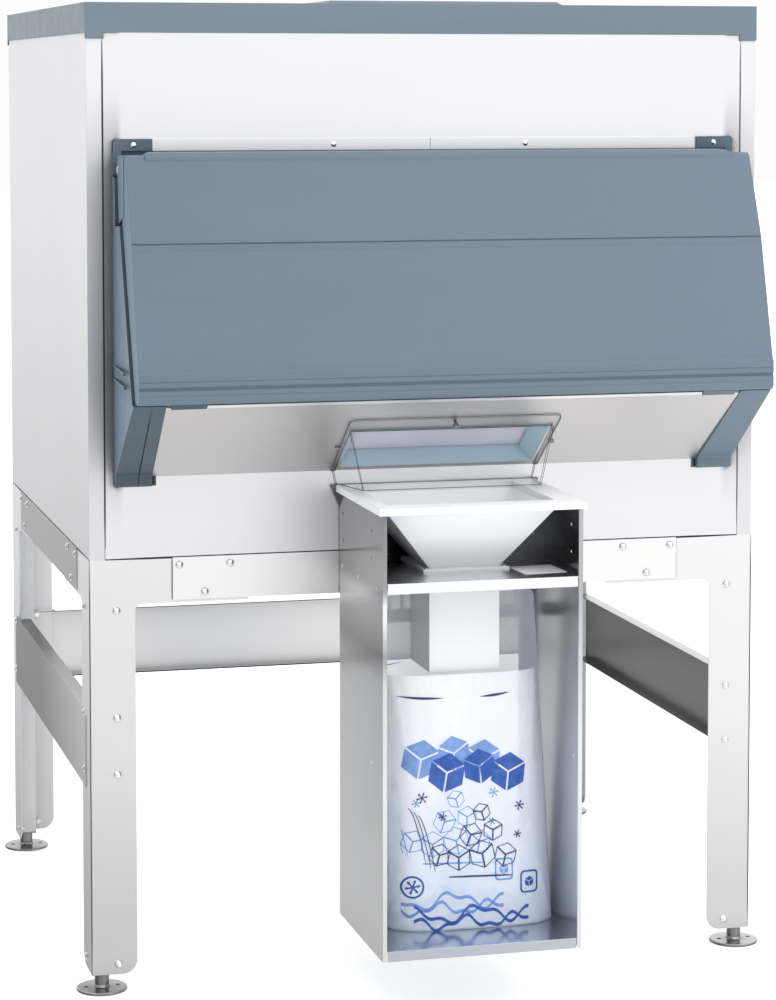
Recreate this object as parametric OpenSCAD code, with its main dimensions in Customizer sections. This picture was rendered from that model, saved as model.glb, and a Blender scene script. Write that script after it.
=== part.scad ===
/* [Cabinet] */
// Width of the cabinet
body_w = 1219.2; // [1000:0.1:1600]
// Depth of the cabinet, front face to rear face
body_d = 1048; // [900:1:1300]
// Height of the steel cabinet between the stand and the top deck
body_h = 914.4; // [880:0.1:1100]
// Height of the stand, floor to the underside of the cabinet
stand_h = 762; // [720:1:900]
// Thickness of the insulated walls
wall = 60; // [50:1:75]
// Thickness of the cabinet sheet steel
sheet = 1.5; // [1:0.1:2]
// Thickness of the moulded liner
liner_t = 4; // [3:0.5:6]
// Width of the corner returns of the side panels
return_w = 27; // [20:1:40]

/* [Top deck] */
// Height of the moulded top deck
deck_h = 47.6; // [40:0.1:60]
// Wall of the moulded top deck
deck_t = 5; // [4:0.5:7]
// Width of the raised seat for the ice machine
seat_w = 455; // [400:5:600]
// Depth of the raised seat for the ice machine
seat_d = 520; // [400:5:600]
// Distance of the seat's centre to the right of the cabinet's centre
seat_x = 72; // [-80:1:80]
// Width of the ice drop opening
drop_w = 356; // [250:1:380]
// Depth of the ice drop opening
drop_d = 406; // [250:1:420]

/* [Door and surround] */
// Cabinet face that shows on each side of the surround
surround_reveal = 44.6; // [40:0.1:120]
// Distance of the door's sides inside the surround's sides
door_reveal = 5; // [5:0.5:12]
// Height of the hinge axis above the bottom of the cabinet
hinge_rise = 676; // [660:1:690]
// Distance of the hinge axis in front of the cabinet face
hinge_out = 38; // [37:0.5:39]
// Wall of the door moulding
door_t = 5; // [4:0.5:6]
// Distance of the door's crease in front of the cabinet face
crease_out = 164; // [158:1:172]
// Width of each cheek of the surround
cheek_w = 68; // [55:1:90]
// Radius of the hinge pins
hinge_pin_r = 5; // [4:0.5:6]

/* [Stand] */
// Width of the leg plates on the front and rear
leg_w = 80; // [70:1:100]
// Depth of the leg plates on the sides
leg_d = 95; // [80:1:110]
// Thickness of the stand's plates
plate = 2; // [1.5:0.1:3]
// Side of the square leg tubes
tube = 36; // [30:1:36]
// Height of the top rails
rail_h = 80; // [78:1:95]
// Height of the middle rails
mid_h = 138; // [120:1:160]
// Height of the top edge of the middle rails above the floor
mid_top = 492; // [440:1:540]
// Diameter of the foot discs
foot_d = 89; // [80:1:110]
// Height of the leg plates above the floor
leg_z = 30; // [28:1:45]

/* [Bagging station] */
// Width of the bagging cabinet
bag_w = 350; // [320:1:420]
// Depth of the bagging cabinet
bag_d = 308; // [290:1:340]
// Height of the bagging cabinet
bag_h = 755; // [700:5:780]
// Height of the top of the bagging cabinet above the bottom of the ice cabinet
bag_rise = 105; // [95:1:115]
// Distance of the bagging cabinet's centre to the right of the cabinet's centre
bag_x = 9; // [-60:1:60]
// Width and depth of the square chute
chute = 125; // [110:1:140]
// Width of an ice bag
bag_film_w = 300; // [260:5:310]
// Height of the outlet that feeds the hopper, measured along the slope
outlet_h = 72; // [60:1:78]

/* [Hidden] */
$fn = 48;
eps = 0.5;

steel = [0.80, 0.81, 0.82];
bright = [0.90, 0.91, 0.92];
blue = [0.46, 0.53, 0.59];
white = [0.93, 0.94, 0.95];
foam = [0.90, 0.86, 0.70];
zinc = [0.70, 0.71, 0.72];
dark = [0.15, 0.15, 0.16];

// Feet
foot_inset = plate + tube / 2;
foot_r = foot_d / 2;
foot_disc_h = 5;
stem_r = 8;
sleeve_r = 12.7;
run_gap = 0.05;
anchor_r = 4;
anchor_x = 28;

// The frame: origin on the floor under the middle of the whole object's length
rim_out = 4;
hanger_t = 2;
bag_back = 2 * plate + hanger_t;
front_reach = bag_back + bag_d + rim_out;
rear_reach = foot_r - foot_inset;
total_d = front_reach + body_d + rear_reach;
face_y = -total_d / 2 + front_reach;
back_y = face_y + body_d;
half_w = body_w / 2;
body_top = stand_h + body_h;
top_z = body_top + deck_h;

surround_w = body_w - 2 * surround_reveal;
door_w = surround_w - 2 * door_reveal;

// Storage compartment
inner_x = half_w - wall;
floor_z = stand_h + 66;
throat_x = surround_w / 2 - cheek_w - 5 - liner_t;
cheek_in = throat_x + liner_t;

// Surround and door: profiles are [distance in front of the face, height]
hinge_z = stand_h + hinge_rise;
slope_k = 0.711;
slope_ang = atan(slope_k);
slope_z0 = stand_h + 143;
seal_k = 0.405;
seal_u0 = 26;
seal_z0 = hinge_z + 17;
gasket_t = 4;
throat_top = hinge_z - 48;
door_bottom = stand_h + 290;
door_top = hinge_z + 25;
surround_top = hinge_z + 31;
surround_low = stand_h + 127;
crease_z = hinge_z - 120;
bumper_out = 229;
bumper_z = door_bottom + 25;
strip_h = 21;
inner_t = 3;
draft = 2.6;
ear_t = 1.2;
ear_r = 12;

function seal_u(z) = seal_u0 + (seal_z0 - z) * seal_k;
function door_u(z) = seal_u(z) + gasket_t + 0.3;
function slope_z(u) = slope_z0 + slope_k * u;
function slope_top(u) = slope_z(u) + sheet / cos(slope_ang);
function floor_slope(u) = slope_z0 + 43 + slope_k * u;
function under_liner(u) = floor_slope(u) - liner_t / cos(slope_ang);

// Bagging station
bag_low = stand_h + bag_rise - bag_h;
bag_top = stand_h + bag_rise;
bag_l = bag_x - bag_w / 2;
bag_r = bag_x + bag_w / 2;
bag_front = bag_back + bag_d;
shelf_z = stand_h - 9;
shelf_lip = 17.6;
flange = 7.5;
rim_top = bag_top + 13;
rim_over = 6;
rim_w = 21;
rim_front = 36;
rim_right = 42;
hopper_t = 4;
chute_back = 71;
chute_front = chute_back + chute;
chute_low = stand_h - 185;
guard_t = 2.5;
guard_out = 120;
guard_w = bag_w / 2 + 9;
guard_low_w = bag_w / 2 - 14;
guard_splay = 10.2;

// Bolts
bolt_r = 4;
bolt_head_r = 7;
bolt_head_h = 4;
bolt_hole_r = 4.2;
nut_r = 7;
nut_h = 5;
leg_bolt_inset = 47;
side_bolt_inset = 62;
leg_bolt_z = [leg_z + 18, mid_top - mid_h + 30, mid_top - 8, stand_h - rail_h - 10];
stub_x = 280;
stub_y = 300;
splice_x = 464;
splice_y = 378;
splice_h = 75;

// Extrudes a side profile, [distance in front of the face, height], between two x
module across(x0, x1) {
    translate([x0, face_y, 0]) rotate([90, 0, 90]) linear_extrude(x1 - x0) mirror([1, 0]) children();
}

// A box given by its lowest and highest corners
module span(a, b) {
    translate(a) cube([b[0] - a[0], b[1] - a[1], b[2] - a[2]]);
}

// A round rod along Y, from the given point towards +Y
module rod_y(p, r, l) {
    translate(p) rotate([-90, 0, 0]) cylinder(r = r, h = l);
}

// A round rod along X, from the given point towards +X
module rod_x(p, r, l) {
    translate(p) rotate([0, 90, 0]) cylinder(r = r, h = l);
}

// Domed screw head on +Z, its flat side at z = 0
module dome(r, h) {
    ball = (r * r + h * h) / (2 * h);
    rotate_extrude() intersection() {
        translate([0, h - ball]) circle(ball, $fn = 64);
        square([r, h]);
    }
}

// Plate whose corners along one diagonal side are rounded, in the XZ plane
module round_plate(w, h, r) {
    union() {
        translate([0, r]) square([w, h - r]);
        translate([0, 0]) square([w - r, r + 0.01]);
        translate([w - r, r]) circle(r);
    }
}

module side_panel(s) {
    color(bright) {
        x0 = s > 0 ? half_w - sheet : -half_w;
        span([x0, face_y, stand_h], [x0 + sheet, back_y, body_top]);
        r0 = s > 0 ? half_w - return_w : -half_w + sheet;
        span([r0, face_y, stand_h], [r0 + return_w - sheet, face_y + sheet, body_top]);
        span([r0, back_y - sheet, stand_h], [r0 + return_w - sheet, back_y, body_top]);
    }
}

module side_panel_left() { side_panel(-1); }
module side_panel_right() { side_panel(1); }

panel_x = half_w - return_w - 0.8;

module front_panel() {
    color(bright) difference() {
        span([-panel_x, face_y, stand_h], [panel_x, face_y + sheet, body_top]);
        span([-cheek_in, face_y - 1, slope_z0], [cheek_in, face_y + sheet + 1, throat_top + liner_t]);
    }
}

module rear_panel() {
    color(steel) span([-panel_x, back_y - sheet, stand_h], [panel_x, back_y, body_top]);
}

drain_y = back_y - 170;
drain_r = 24;
drain_bore_r = 19;

module base_pan() {
    color(steel) difference() {
        span([-half_w + sheet, face_y + sheet, stand_h], [half_w - sheet, back_y - sheet, stand_h + sheet]);
        translate([0, drain_y, stand_h - 1]) cylinder(r = drain_r + 0.3, h = sheet + 2);
    }
}

// Throat profile: from the storage space up the slope to the door
module throat_profile(t) {
    z0 = floor_slope(-wall - 5) - t / cos(slope_ang);
    ue = (seal_u0 + (seal_z0 - slope_z0 - 43 + t / cos(slope_ang)) * seal_k) / (1 + slope_k * seal_k);
    polygon([
        [-wall - 5, z0],
        [ue, floor_slope(ue) - t / cos(slope_ang)],
        [seal_u(throat_top + t), throat_top + t],
        [-wall - 5, throat_top + t]
    ]);
}

module tank(t, top) {
    span([-inner_x - t, face_y + wall - t, floor_z - t], [inner_x + t, back_y - wall + t, top]);
}

module liner() {
    color(white) difference() {
        union() {
            tank(liner_t, body_top);
            across(-cheek_in, cheek_in) throat_profile(liner_t);
        }
        tank(0, body_top + 1);
        difference() {
            across(-throat_x, throat_x) union() {
                throat_profile(0);
                // opens the mouth of the throat
                polygon([
                    [seal_u(throat_top) - 1, throat_top],
                    [seal_u(throat_top) + 60, throat_top],
                    [260, floor_slope(200)],
                    [170, floor_slope(170)]
                ]);
            }
            translate([-half_w, face_y + wall + 6, 0]) cube([body_w, body_d, 3000]);
        }
        translate([0, drain_y, floor_z - liner_t - 1]) cylinder(r = drain_r + 0.3, h = liner_t + 2);
        outlet_cut(sleeve_t);
    }
}

// Passage of the outlet, square to the slope: a wide mouth that narrows to the opening in the liner
module outlet_cut(grow) {
    half = guard_low_w - 2 + grow;
    mouth_half = guard_w - 7 + grow;
    low = 12 - grow;
    high = 12 + outlet_h + grow;
    mouth_high = guard_out / cos(slope_ang) - 7 + grow;
    depth = 43 * cos(slope_ang) - liner_t - 3;
    outlet_place() intersection() {
        translate([-300, 0, 0]) rotate([90, 0, 90]) linear_extrude(600) polygon([
            [low, -40], [mouth_high, -40], [mouth_high, 0], [high, depth], [high, 100], [low, 100]
        ]);
        translate([0, 200, 0]) rotate([90, 0, 0]) linear_extrude(250) polygon([
            [-mouth_half, -40], [mouth_half, -40], [mouth_half, 0], [half, depth],
            [half, 100], [-half, 100], [-half, depth], [-mouth_half, 0]
        ]);
    }
}

// Puts children on the slope's outer face: +Y up the slope, -Z out of the cabinet
module outlet_place() {
    translate([bag_x, face_y, slope_z0]) mirror([0, 1, 0]) rotate([slope_ang, 0, 0]) children();
}

module insulation() {
    color(foam) difference() {
        union() {
            span([-half_w + sheet, face_y + sheet, stand_h + sheet],
                [half_w - sheet, back_y - sheet, body_top]);
            across(-cheek_in, cheek_in) polygon([
                [-5, slope_top(-5) + 0.05], [150, slope_top(150) + 0.05],
                [150, under_liner(150)], [-5, under_liner(-5)]
            ]);
        }
        tank(liner_t, body_top + 1);
        across(-cheek_in, cheek_in) throat_profile(liner_t);
        // the corner returns of the side panels
        for (s = [-1, 1]) for (y = [face_y, back_y - sheet])
            span([s > 0 ? half_w - return_w : -half_w, y, stand_h],
                [s > 0 ? half_w : -half_w + return_w, y + sheet, body_top]);
        translate([0, drain_y, stand_h]) cylinder(r = drain_r + 0.3, h = wall + 10);
        outlet_cut(sleeve_t);
    }
}

module ceiling() {
    color(white) difference() {
        span([-half_w + deck_t, face_y + deck_t, body_top], [half_w - deck_t, back_y - deck_t, body_top + 3]);
        drop_hole(0, body_top - 1, body_top + 4);
    }
}

seat_front = face_y + 150;
seat_y = seat_front + seat_d / 2;
seat_h = 10;
seat_slope = 14;

module drop_hole(grow, z0, z1) {
    span([seat_x - drop_w / 2 - grow, seat_y - drop_d / 2 - grow, z0],
        [seat_x + drop_w / 2 + grow, seat_y + drop_d / 2 + grow, z1]);
}

// Raised seat with sloping sides, where two trapezium prisms cross
module seat_block() {
    intersection() {
        translate([seat_x, seat_front, 0]) rotate([-90, 0, 0]) linear_extrude(seat_d)
            polygon([
                [-seat_w / 2, -top_z + 1], [seat_w / 2, -top_z + 1], [seat_w / 2, -top_z],
                [seat_w / 2 - seat_slope, -top_z - seat_h],
                [-seat_w / 2 + seat_slope, -top_z - seat_h], [-seat_w / 2, -top_z]
            ]);
        translate([seat_x - seat_w / 2, seat_y, 0]) rotate([90, 0, 90]) linear_extrude(seat_w)
            polygon([
                [-seat_d / 2, top_z - 1], [seat_d / 2, top_z - 1], [seat_d / 2, top_z],
                [seat_d / 2 - seat_slope, top_z + seat_h],
                [-seat_d / 2 + seat_slope, top_z + seat_h], [-seat_d / 2, top_z]
            ]);
    }
}

module top_deck() {
    over = 2;
    color(blue) difference() {
        union() {
            difference() {
                span([-half_w - over, face_y - over, body_top], [half_w + over, back_y + over, top_z]);
                span([-half_w + deck_t, face_y + deck_t, body_top - 1],
                    [half_w - deck_t, back_y - deck_t, top_z - deck_t]);
            }
            // skirt that laps the top of the sheet steel
            difference() {
                span([-half_w - over, face_y - over, body_top - 4], [half_w + over, back_y + over, body_top]);
                span([-half_w, face_y, body_top - 5], [half_w, back_y, body_top + 1]);
            }
            // lap pieces at the lower corners
            for (s = [-1, 1]) for (y = [face_y - over, back_y])
                span([s > 0 ? half_w - 30 : -half_w - over, y, body_top - 14],
                    [s > 0 ? half_w + over : -half_w + 30, y + over, body_top - 3]);
            seat_block();
            // wall of the drop opening
            drop_hole(deck_t, body_top + 3, top_z);
        }
        drop_hole(0, body_top - 1, top_z + seat_h + 1);
    }
}

module deck_insulation() {
    color(foam) difference() {
        span([-half_w + deck_t, face_y + deck_t, body_top + 3],
            [half_w - deck_t, back_y - deck_t, top_z - deck_t]);
        drop_hole(deck_t, body_top, top_z);
    }
}

// Surround: base flange, cheeks, header and sill in one moulding
flange_out = 4;
bracket_low = hinge_z - 18;

module cheek_profile() {
    tip = 204;
    polygon([
        [0, surround_top], [flange_out, surround_top], [flange_out, hinge_z - 12],
        [seal_u(hinge_z - 16), hinge_z - 16], [seal_u(door_bottom - 1), door_bottom - 1],
        [tip - 2, door_bottom - 1], [tip, door_bottom - 3],
        [15, slope_z0 + 5], [12, slope_z0 + 1], [12, surround_low + 3], [9, surround_low], [0, surround_low]
    ]);
}

// Lug of the cheek that carries the hinge pin, seen from the side
module lug_profile() {
    polygon([
        [hinge_out - 14, hinge_z - 20], [hinge_out - 10, hinge_z], [hinge_out + 10, hinge_z],
        [seal_u(hinge_z - 18), hinge_z - 18]
    ]);
    translate([hinge_out, hinge_z]) circle(10);
}

// A slab outside the cheek's outer face, which leans in by the moulding draft
module outside(s, x, w) {
    translate([s * x, face_y, 0]) rotate([0, 0, s * draft]) translate([s > 0 ? 0 : -w, -400, 0]) cube([w, 400, 3000]);
}

module cheek(s) {
    out_x = surround_w / 2;
    in_x = out_x - cheek_w + 3;
    recess_x = door_w / 2 - door_t - 1.7;
    difference() {
        union() {
            across(s > 0 ? cheek_in : -out_x, s > 0 ? out_x : -cheek_in) cheek_profile();
            across(s > 0 ? recess_x - 24 : -recess_x, s > 0 ? recess_x : -recess_x + 24) lug_profile();
        }
        outside(s, out_x, 60);
        // the inner face leans too below the sloping panel, so that the foot is narrower than the base
        intersection() {
            translate([s * in_x, face_y, 0]) rotate([0, 0, s * draft])
                translate([s > 0 ? -40 : 0, -400, 0]) cube([40, 400, 3000]);
            across(s > 0 ? cheek_in - 10 : -in_x - 20, s > 0 ? in_x + 20 : -cheek_in + 10)
                polygon([[-1, 0], [-1, slope_top(-1) + 0.05], [206, slope_top(206) + 0.05], [206, 0]]);
        }
        // recess for the arm of the door
        across(s > 0 ? recess_x : -out_x - 1, s > 0 ? out_x + 1 : -recess_x) polygon([
            [24, hinge_z + 1], [24, hinge_z - 97], [100, hinge_z - 92], [120, hinge_z + 1]
        ]);
        rod_x([s > 0 ? recess_x - 30 : -recess_x - 1, face_y - hinge_out, hinge_z], hinge_pin_r + run_gap, 31);
        if (s < 0) cheek_groove();
    }
    // two beads along the outer face
    for (m = [[hinge_z - 338, 158], [hinge_z - 361, 168]])
        translate([s * out_x, face_y, m[0]]) rotate([0, 0, s * draft]) rod_y([0, -m[1], 0], 2.5, m[1] - 3);
}

// Groove down the front of the left cheek and its foot
module cheek_groove() {
    g = 2;
    translate([-surround_w / 2 + cheek_w * 0.62, face_y, 0]) rotate([0, 0, -draft])
        translate([-g, 0, 0]) rotate([90, 0, 90]) linear_extrude(g) mirror([1, 0]) polygon([
            [12 - g, surround_low - 1], [16, surround_low - 1], [16, slope_z0 + 5], [204, door_bottom - 3],
            [203, door_bottom + g], [14, slope_z0 + 6 + g], [12 - g, slope_z0]
        ]);
}

module surround() {
    color(blue) {
        cheek(-1);
        cheek(1);
        // header above the opening
        across(-cheek_in, cheek_in) polygon([
            [0, surround_top], [flange_out, surround_top], [flange_out, hinge_z - 12],
            [seal_u(hinge_z - 16), hinge_z - 16],
            [seal_u(throat_top + liner_t), throat_top + liner_t], [0, throat_top + liner_t]
        ]);
        // sill between the sloping panel and the liner
        ue = (seal_u0 + (seal_z0 - slope_z0 - 43 + liner_t / cos(slope_ang)) * seal_k)
            / (1 + slope_k * seal_k);
        across(-cheek_in, cheek_in) polygon([
            [150, slope_top(150) + 0.05], [199, slope_top(199) + 0.05],
            [seal_u(door_bottom - 1), door_bottom - 1], [ue, under_liner(ue)], [150, under_liner(150)]
        ]);
        // tabs below the ends of the door
        for (s = [-1, 1])
            across(s > 0 ? cheek_in - 52 : -cheek_in - 8, s > 0 ? cheek_in + 8 : -cheek_in + 52)
                polygon([[196, slope_z(196) - 0.8], [196, slope_z(196) - 2.5], [202, door_bottom - 4],
                    [204, door_bottom - 2], [202, door_bottom - 0.5]]);
    }
}

module slope_panel() {
    end = 201;
    in_x = surround_w / 2 - cheek_w + 3;
    color(steel) difference() {
        across(-in_x - 12, in_x + 12) polygon([
            [0, slope_z0], [end, slope_z(end)], [end - 1, slope_top(end - 1)], [0, slope_top(0)]
        ]);
        outlet_cut(0);
        for (s = [-1, 1]) {
            translate([s * (in_x - 0.3), face_y, 0]) rotate([0, 0, s * draft])
                translate([s > 0 ? 0 : -60, -400, 0]) cube([60, 400, 3000]);
            // seats of the tabs below the door
            span([s > 0 ? cheek_in - 53 : -in_x - 14, face_y - end - 5, slope_z(194)],
                [s > 0 ? in_x + 14 : -cheek_in + 53, face_y - 194, door_bottom]);
        }
    }
}

strip_x = surround_w / 2 - 68;
screw_z = surround_top + strip_h / 2;

module header_strip() {
    color(bright) difference() {
        span([-strip_x, face_y - 2.5, surround_top + 0.3], [strip_x, face_y, surround_top + strip_h]);
        for (x = [-175, 175]) rod_y([x, face_y - 4, screw_z], 2.2, 6);
        // the strip's two halves meet in the middle
        span([-0.4, face_y - 3, surround_top], [0.4, face_y + 1, surround_top + strip_h + 1]);
    }
}

module surround_screws() {
    color(zinc) {
        for (x = [-strip_x - 32, -175, 175, strip_x + 32]) {
            out = abs(x) > strip_x ? flange_out + 3 : 2.5;
            translate([x, face_y - out, screw_z]) rotate([90, 0, 0]) dome(5, 2.2);
            rod_y([x, face_y - out, screw_z], 2, out);
        }
    }
}

// Flat corner plate, an L, at each end of the strip
module hinge_bracket(s) {
    r = 6;
    leg_w = 15;
    leg_low = hinge_z - 11.5;
    top = surround_top + strip_h;
    color(blue) difference() {
        translate([s * surround_w / 2, face_y - flange_out, 0]) mirror([s > 0 ? 1 : 0, 0, 0]) rotate([90, 0, 0])
            linear_extrude(3) union() {
                translate([0, surround_top + 0.3]) square([cheek_w + 0.7, strip_h - r - 0.3]);
                translate([r, top - r - 1]) square([cheek_w + 0.7 - r, r + 1]);
                translate([r, top - r]) circle(r);
                translate([0, leg_low + r]) square([leg_w, surround_top - leg_low]);
                translate([r, leg_low]) square([leg_w - r, r + 1]);
                translate([r, leg_low + r]) circle(r);
            }
        rod_y([s * (strip_x + 32), face_y - 10, screw_z], 2.2, 12);
    }
    // packer between the plate and the cabinet above the surround
    color(blue) difference() {
        span([s > 0 ? strip_x + 0.3 : -surround_w / 2 + r, face_y - flange_out, surround_top + 0.3],
            [s > 0 ? surround_w / 2 - r : -strip_x - 0.3, face_y, top - r]);
        rod_y([s * (strip_x + 32), face_y - 10, screw_z], 2.2, 12);
    }
}

module hinge_bracket_left() { hinge_bracket(-1); }
module hinge_bracket_right() { hinge_bracket(1); }

module hinge_pins() {
    head_x = door_w / 2 + ear_t + 0.4;
    color(zinc) for (s = [-1, 1]) translate([0, face_y - hinge_out, hinge_z]) {
        translate([s > 0 ? head_x - 30 : -head_x, 0, 0]) rotate([0, 90, 0])
            cylinder(r = hinge_pin_r, h = 30);
        translate([s * head_x, 0, 0]) rotate([0, s * 90, 0]) dome(8.5, 3);
    }
}

// Door profile; inset moves its outer faces inwards by that much
module door_profile(inset, back) {
    low = door_bottom + inset;
    top = door_top - inset;
    nose = 11 - inset / 2;
    front_top = 104 - inset;
    front = bumper_out - inset;
    crease = crease_out - inset;
    arc = [for (a = [90:-15:15]) [front_top - nose + nose * cos(a), top - nose + nose * sin(a)]];
    bump = [for (a = [0:-18:-90]) [front - 11 + 11 * cos(a), low + 11 + 11 * sin(a)]];
    polygon(concat(
        [[door_u(top) - back, top]],
        arc,
        [[crease, crease_z], [crease - 1.2, crease_z - 1.2], [crease + 1.2, crease_z - 3.4],
            [crease + 3, crease_z - 13.2], [crease + 3.8, crease_z - 14],
            [front - 6, bumper_z + 32], [front - 1, bumper_z + 26], [front - 0.5, bumper_z + 15],
            [front - 1, bumper_z + 14], [front, bumper_z + 13], [front, bumper_z + 6],
            [front - 2.5, bumper_z + 3], [front - 2.5, bumper_z + 1.5], [front, bumper_z - 1],
            [front, bumper_z - 8], [front - 0.7, bumper_z - 9]],
        bump,
        [[door_u(low) - back, low]]
    ));
}

// Arm at the top of the door's side, which reaches back to the hinge pin
module door_arm() {
    polygon([
        [hinge_out - ear_r, hinge_z], [hinge_out - ear_r + 2, hinge_z + 12], [hinge_out - 6, door_top],
        [92, door_top], [92, hinge_z - 78], [hinge_out + 5, hinge_z - 91], [hinge_out - 1, hinge_z - 60],
        [hinge_out - ear_r + 3, hinge_z - 8]
    ]);
    translate([hinge_out, hinge_z]) circle(ear_r);
}

// Raised middle of the door's top edge, which stops short of the corner plates
module door_cap() {
    rise = 6;
    half = door_w / 2 - 34;
    arc = [for (a = [90:-15:0]) [93 + 11 * cos(a), door_top + rise - 11 + 11 * sin(a)]];
    intersection() {
        across(-half, half) polygon(concat(
            [[60, door_top - 3], [62, door_top + rise]], arc,
            [[103.9, door_top - 11.5], [96, door_top - 11.5]]
        ));
        translate([0, face_y, 0]) rotate([90, 0, 0]) linear_extrude(200) polygon([
            [-half, door_top - 20], [-half, door_top], [13 - half, door_top + rise + 1],
            [half - 13, door_top + rise + 1], [half, door_top], [half, door_top - 20]
        ]);
    }
}

module door_outer() {
    side = door_t + 1;
    color(blue) difference() {
        union() {
            difference() {
                union() {
                    across(-door_w / 2, door_w / 2) door_profile(0, 0);
                    door_cap();
                }
                across(-door_w / 2 + side, door_w / 2 - side) door_profile(door_t, 20);
            }
            for (s = [-1, 1])
                across(s > 0 ? door_w / 2 - side : -door_w / 2 - ear_t, s > 0 ? door_w / 2 + ear_t : -door_w / 2 + side)
                    door_arm();
        }
        rod_x([-door_w, face_y - hinge_out, hinge_z], hinge_pin_r + run_gap, 2 * door_w);
    }
}

door_in_x = door_w / 2 - door_t - 1;
core_x = door_in_x - 22;

module door_inner() {
    low = door_bottom + door_t;
    high = hinge_z - 26;
    color(white) across(-door_in_x, door_in_x) polygon([
        [door_u(low), low], [door_u(low) + inner_t, low],
        [door_u(high) + inner_t, high], [door_u(high), high]
    ]);
}

module door_insulation() {
    low = door_bottom + door_t;
    high = hinge_z - 26;
    color(foam) intersection() {
        across(-core_x, core_x) door_profile(door_t, 0);
        across(-core_x, core_x) polygon([
            [door_u(low) + inner_t, low], [400, low], [400, high], [door_u(high) + inner_t, high]
        ]);
    }
}

module door_gasket() {
    lo = door_bottom + 7;
    hi = throat_top + 20;
    color(dark) difference() {
        across(-throat_x - 22, throat_x + 22) polygon([
            [seal_u(lo) + 0.2, lo], [door_u(lo), lo], [door_u(hi), hi], [seal_u(hi) + 0.2, hi]
        ]);
        across(-throat_x - 8, throat_x + 8) polygon([
            [100, lo + 11], [300, lo + 11], [300, hi - 11], [0, hi - 11]
        ]);
    }
}

sleeve_t = 3;

module outlet_sleeve() {
    color(blue) difference() {
        intersection() {
            outlet_cut(sleeve_t);
            across(-cheek_in, cheek_in) polygon([
                [-22, slope_top(-22) + 0.1], [150, slope_top(150) + 0.1],
                [150, floor_slope(150) - 0.05], [-22, floor_slope(-22) - 0.05]
            ]);
        }
        outlet_cut(0);
    }
}

gate_t = 6;
gate_half = guard_low_w + 12;
gate_low = -18;
gate_len = 96;

// Puts children on the liner's sloping floor: +Y up the slope, +Z into the cabinet
module gate_place() {
    translate([bag_x, face_y, floor_slope(0)]) rotate([-slope_ang, 0, 0]) mirror([0, 1, 0]) children();
}

module outlet_gate() {
    color(blue) gate_place() {
        translate([-gate_half, gate_low, 0.3]) cube([2 * gate_half, gate_len, gate_t]);
        // grip along the upper edge
        translate([-60, gate_low + gate_len - 14, 0.3]) cube([120, 14, gate_t + 16]);
    }
}

module gate_guides() {
    guide_w = 12;
    lap = 6;
    color(white) gate_place() for (s = [-1, 1]) {
        x0 = s > 0 ? gate_half + 0.5 : -gate_half - 0.5 - guide_w;
        translate([x0, gate_low, 0]) cube([guide_w, gate_len + 85, gate_t + 1]);
        translate([s > 0 ? x0 - lap : x0, gate_low, gate_t + 1]) cube([guide_w + lap, gate_len + 85, 3]);
    }
}

module drain_fitting() {
    color(white) difference() {
        translate([0, drain_y, 0]) union() {
            translate([0, 0, stand_h - 30]) cylinder(r = drain_r, h = floor_z - stand_h + 30);
            translate([0, 0, floor_z]) cylinder(r = drain_r + 12, h = 3);
        }
        translate([0, drain_y, stand_h - 31]) cylinder(r = drain_bore_r, h = 200);
    }
}

// Leg plate bent round a corner, with a stub of the top rail on each face
module leg_face(w, stub, side) {
    r = 25;
    difference() {
        union() {
            // the upright, with a rounded lower inner corner
            translate([0, leg_z]) round_plate(w, stand_h - leg_z, r);
            translate([0, stand_h - rail_h]) square([stub, rail_h]);
            translate([w - 1, stand_h - rail_h - 12]) square([13, 13]);
        }
        translate([w + 12, stand_h - rail_h - 12]) circle(12);
    }
}

module leg(sx, sy) {
    x0 = sx * half_w;
    y0 = sy < 0 ? face_y : back_y;
    color(bright) difference() {
        union() {
            // front or rear face
            translate([x0, y0 - sy * 0, 0]) mirror([sx > 0 ? 1 : 0, 0, 0])
                translate([0, sy < 0 ? 0 : -plate, 0]) rotate([90, 0, 0]) translate([0, 0, -plate])
                linear_extrude(plate) leg_face(leg_w, stub_x);
            // side face
            translate([x0, y0, 0]) mirror([0, sy > 0 ? 1 : 0, 0])
                translate([sx > 0 ? -plate : 0, 0, 0]) rotate([90, 0, 90])
                linear_extrude(plate) leg_face(leg_d, stub_y);
        }
        leg_holes(sx, sy);
        for (b = splice_marks(splice_x, 0)) rod_y([b[0], y0 - 10, b[1]], bolt_hole_r, 20);
        for (b = splice_marks(splice_y, 0)) rod_x([x0 - 10, face_y + body_d / 2 + b[0], b[1]], bolt_hole_r, 20);
    }
}

// Bolt places of a splice: two high and one low at each end
function splice_marks(half, skip) = [
    for (s = [-1, 1]) for (m = [[12, 13], [102, 13], [57, 62]]) [s * (half - m[0]), stand_h - m[1]]
];

module leg_holes(sx, sy) {
    x0 = sx * half_w;
    y0 = sy < 0 ? face_y : back_y;
    for (z = leg_bolt_z) {
        rod_y([x0 - sx * leg_bolt_inset, y0 - 10, z], bolt_hole_r, 20);
        rod_x([x0 - 10, y0 - sy * side_bolt_inset, z], bolt_hole_r, 20);
    }
}

module leg_front_left() { leg(-1, -1); }
module leg_front_right() { leg(1, -1); }
module leg_rear_left() { leg(-1, 1); }
module leg_rear_right() { leg(1, 1); }

tube_t = 2;

module leg_tubes() {
    color(steel) for (sx = [-1, 1]) for (y0 = [face_y, back_y]) {
        sy = y0 < 0 ? -1 : 1;
        translate([sx * (half_w - foot_inset), y0 - sy * foot_inset, leg_z + 4]) difference() {
            translate([-tube / 2, -tube / 2, 0]) cube([tube, tube, stand_h - leg_z - 4]);
            translate([-tube / 2 + tube_t, -tube / 2 + tube_t, -1])
                cube([tube - 2 * tube_t, tube - 2 * tube_t, stand_h]);
        }
    }
}

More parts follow.
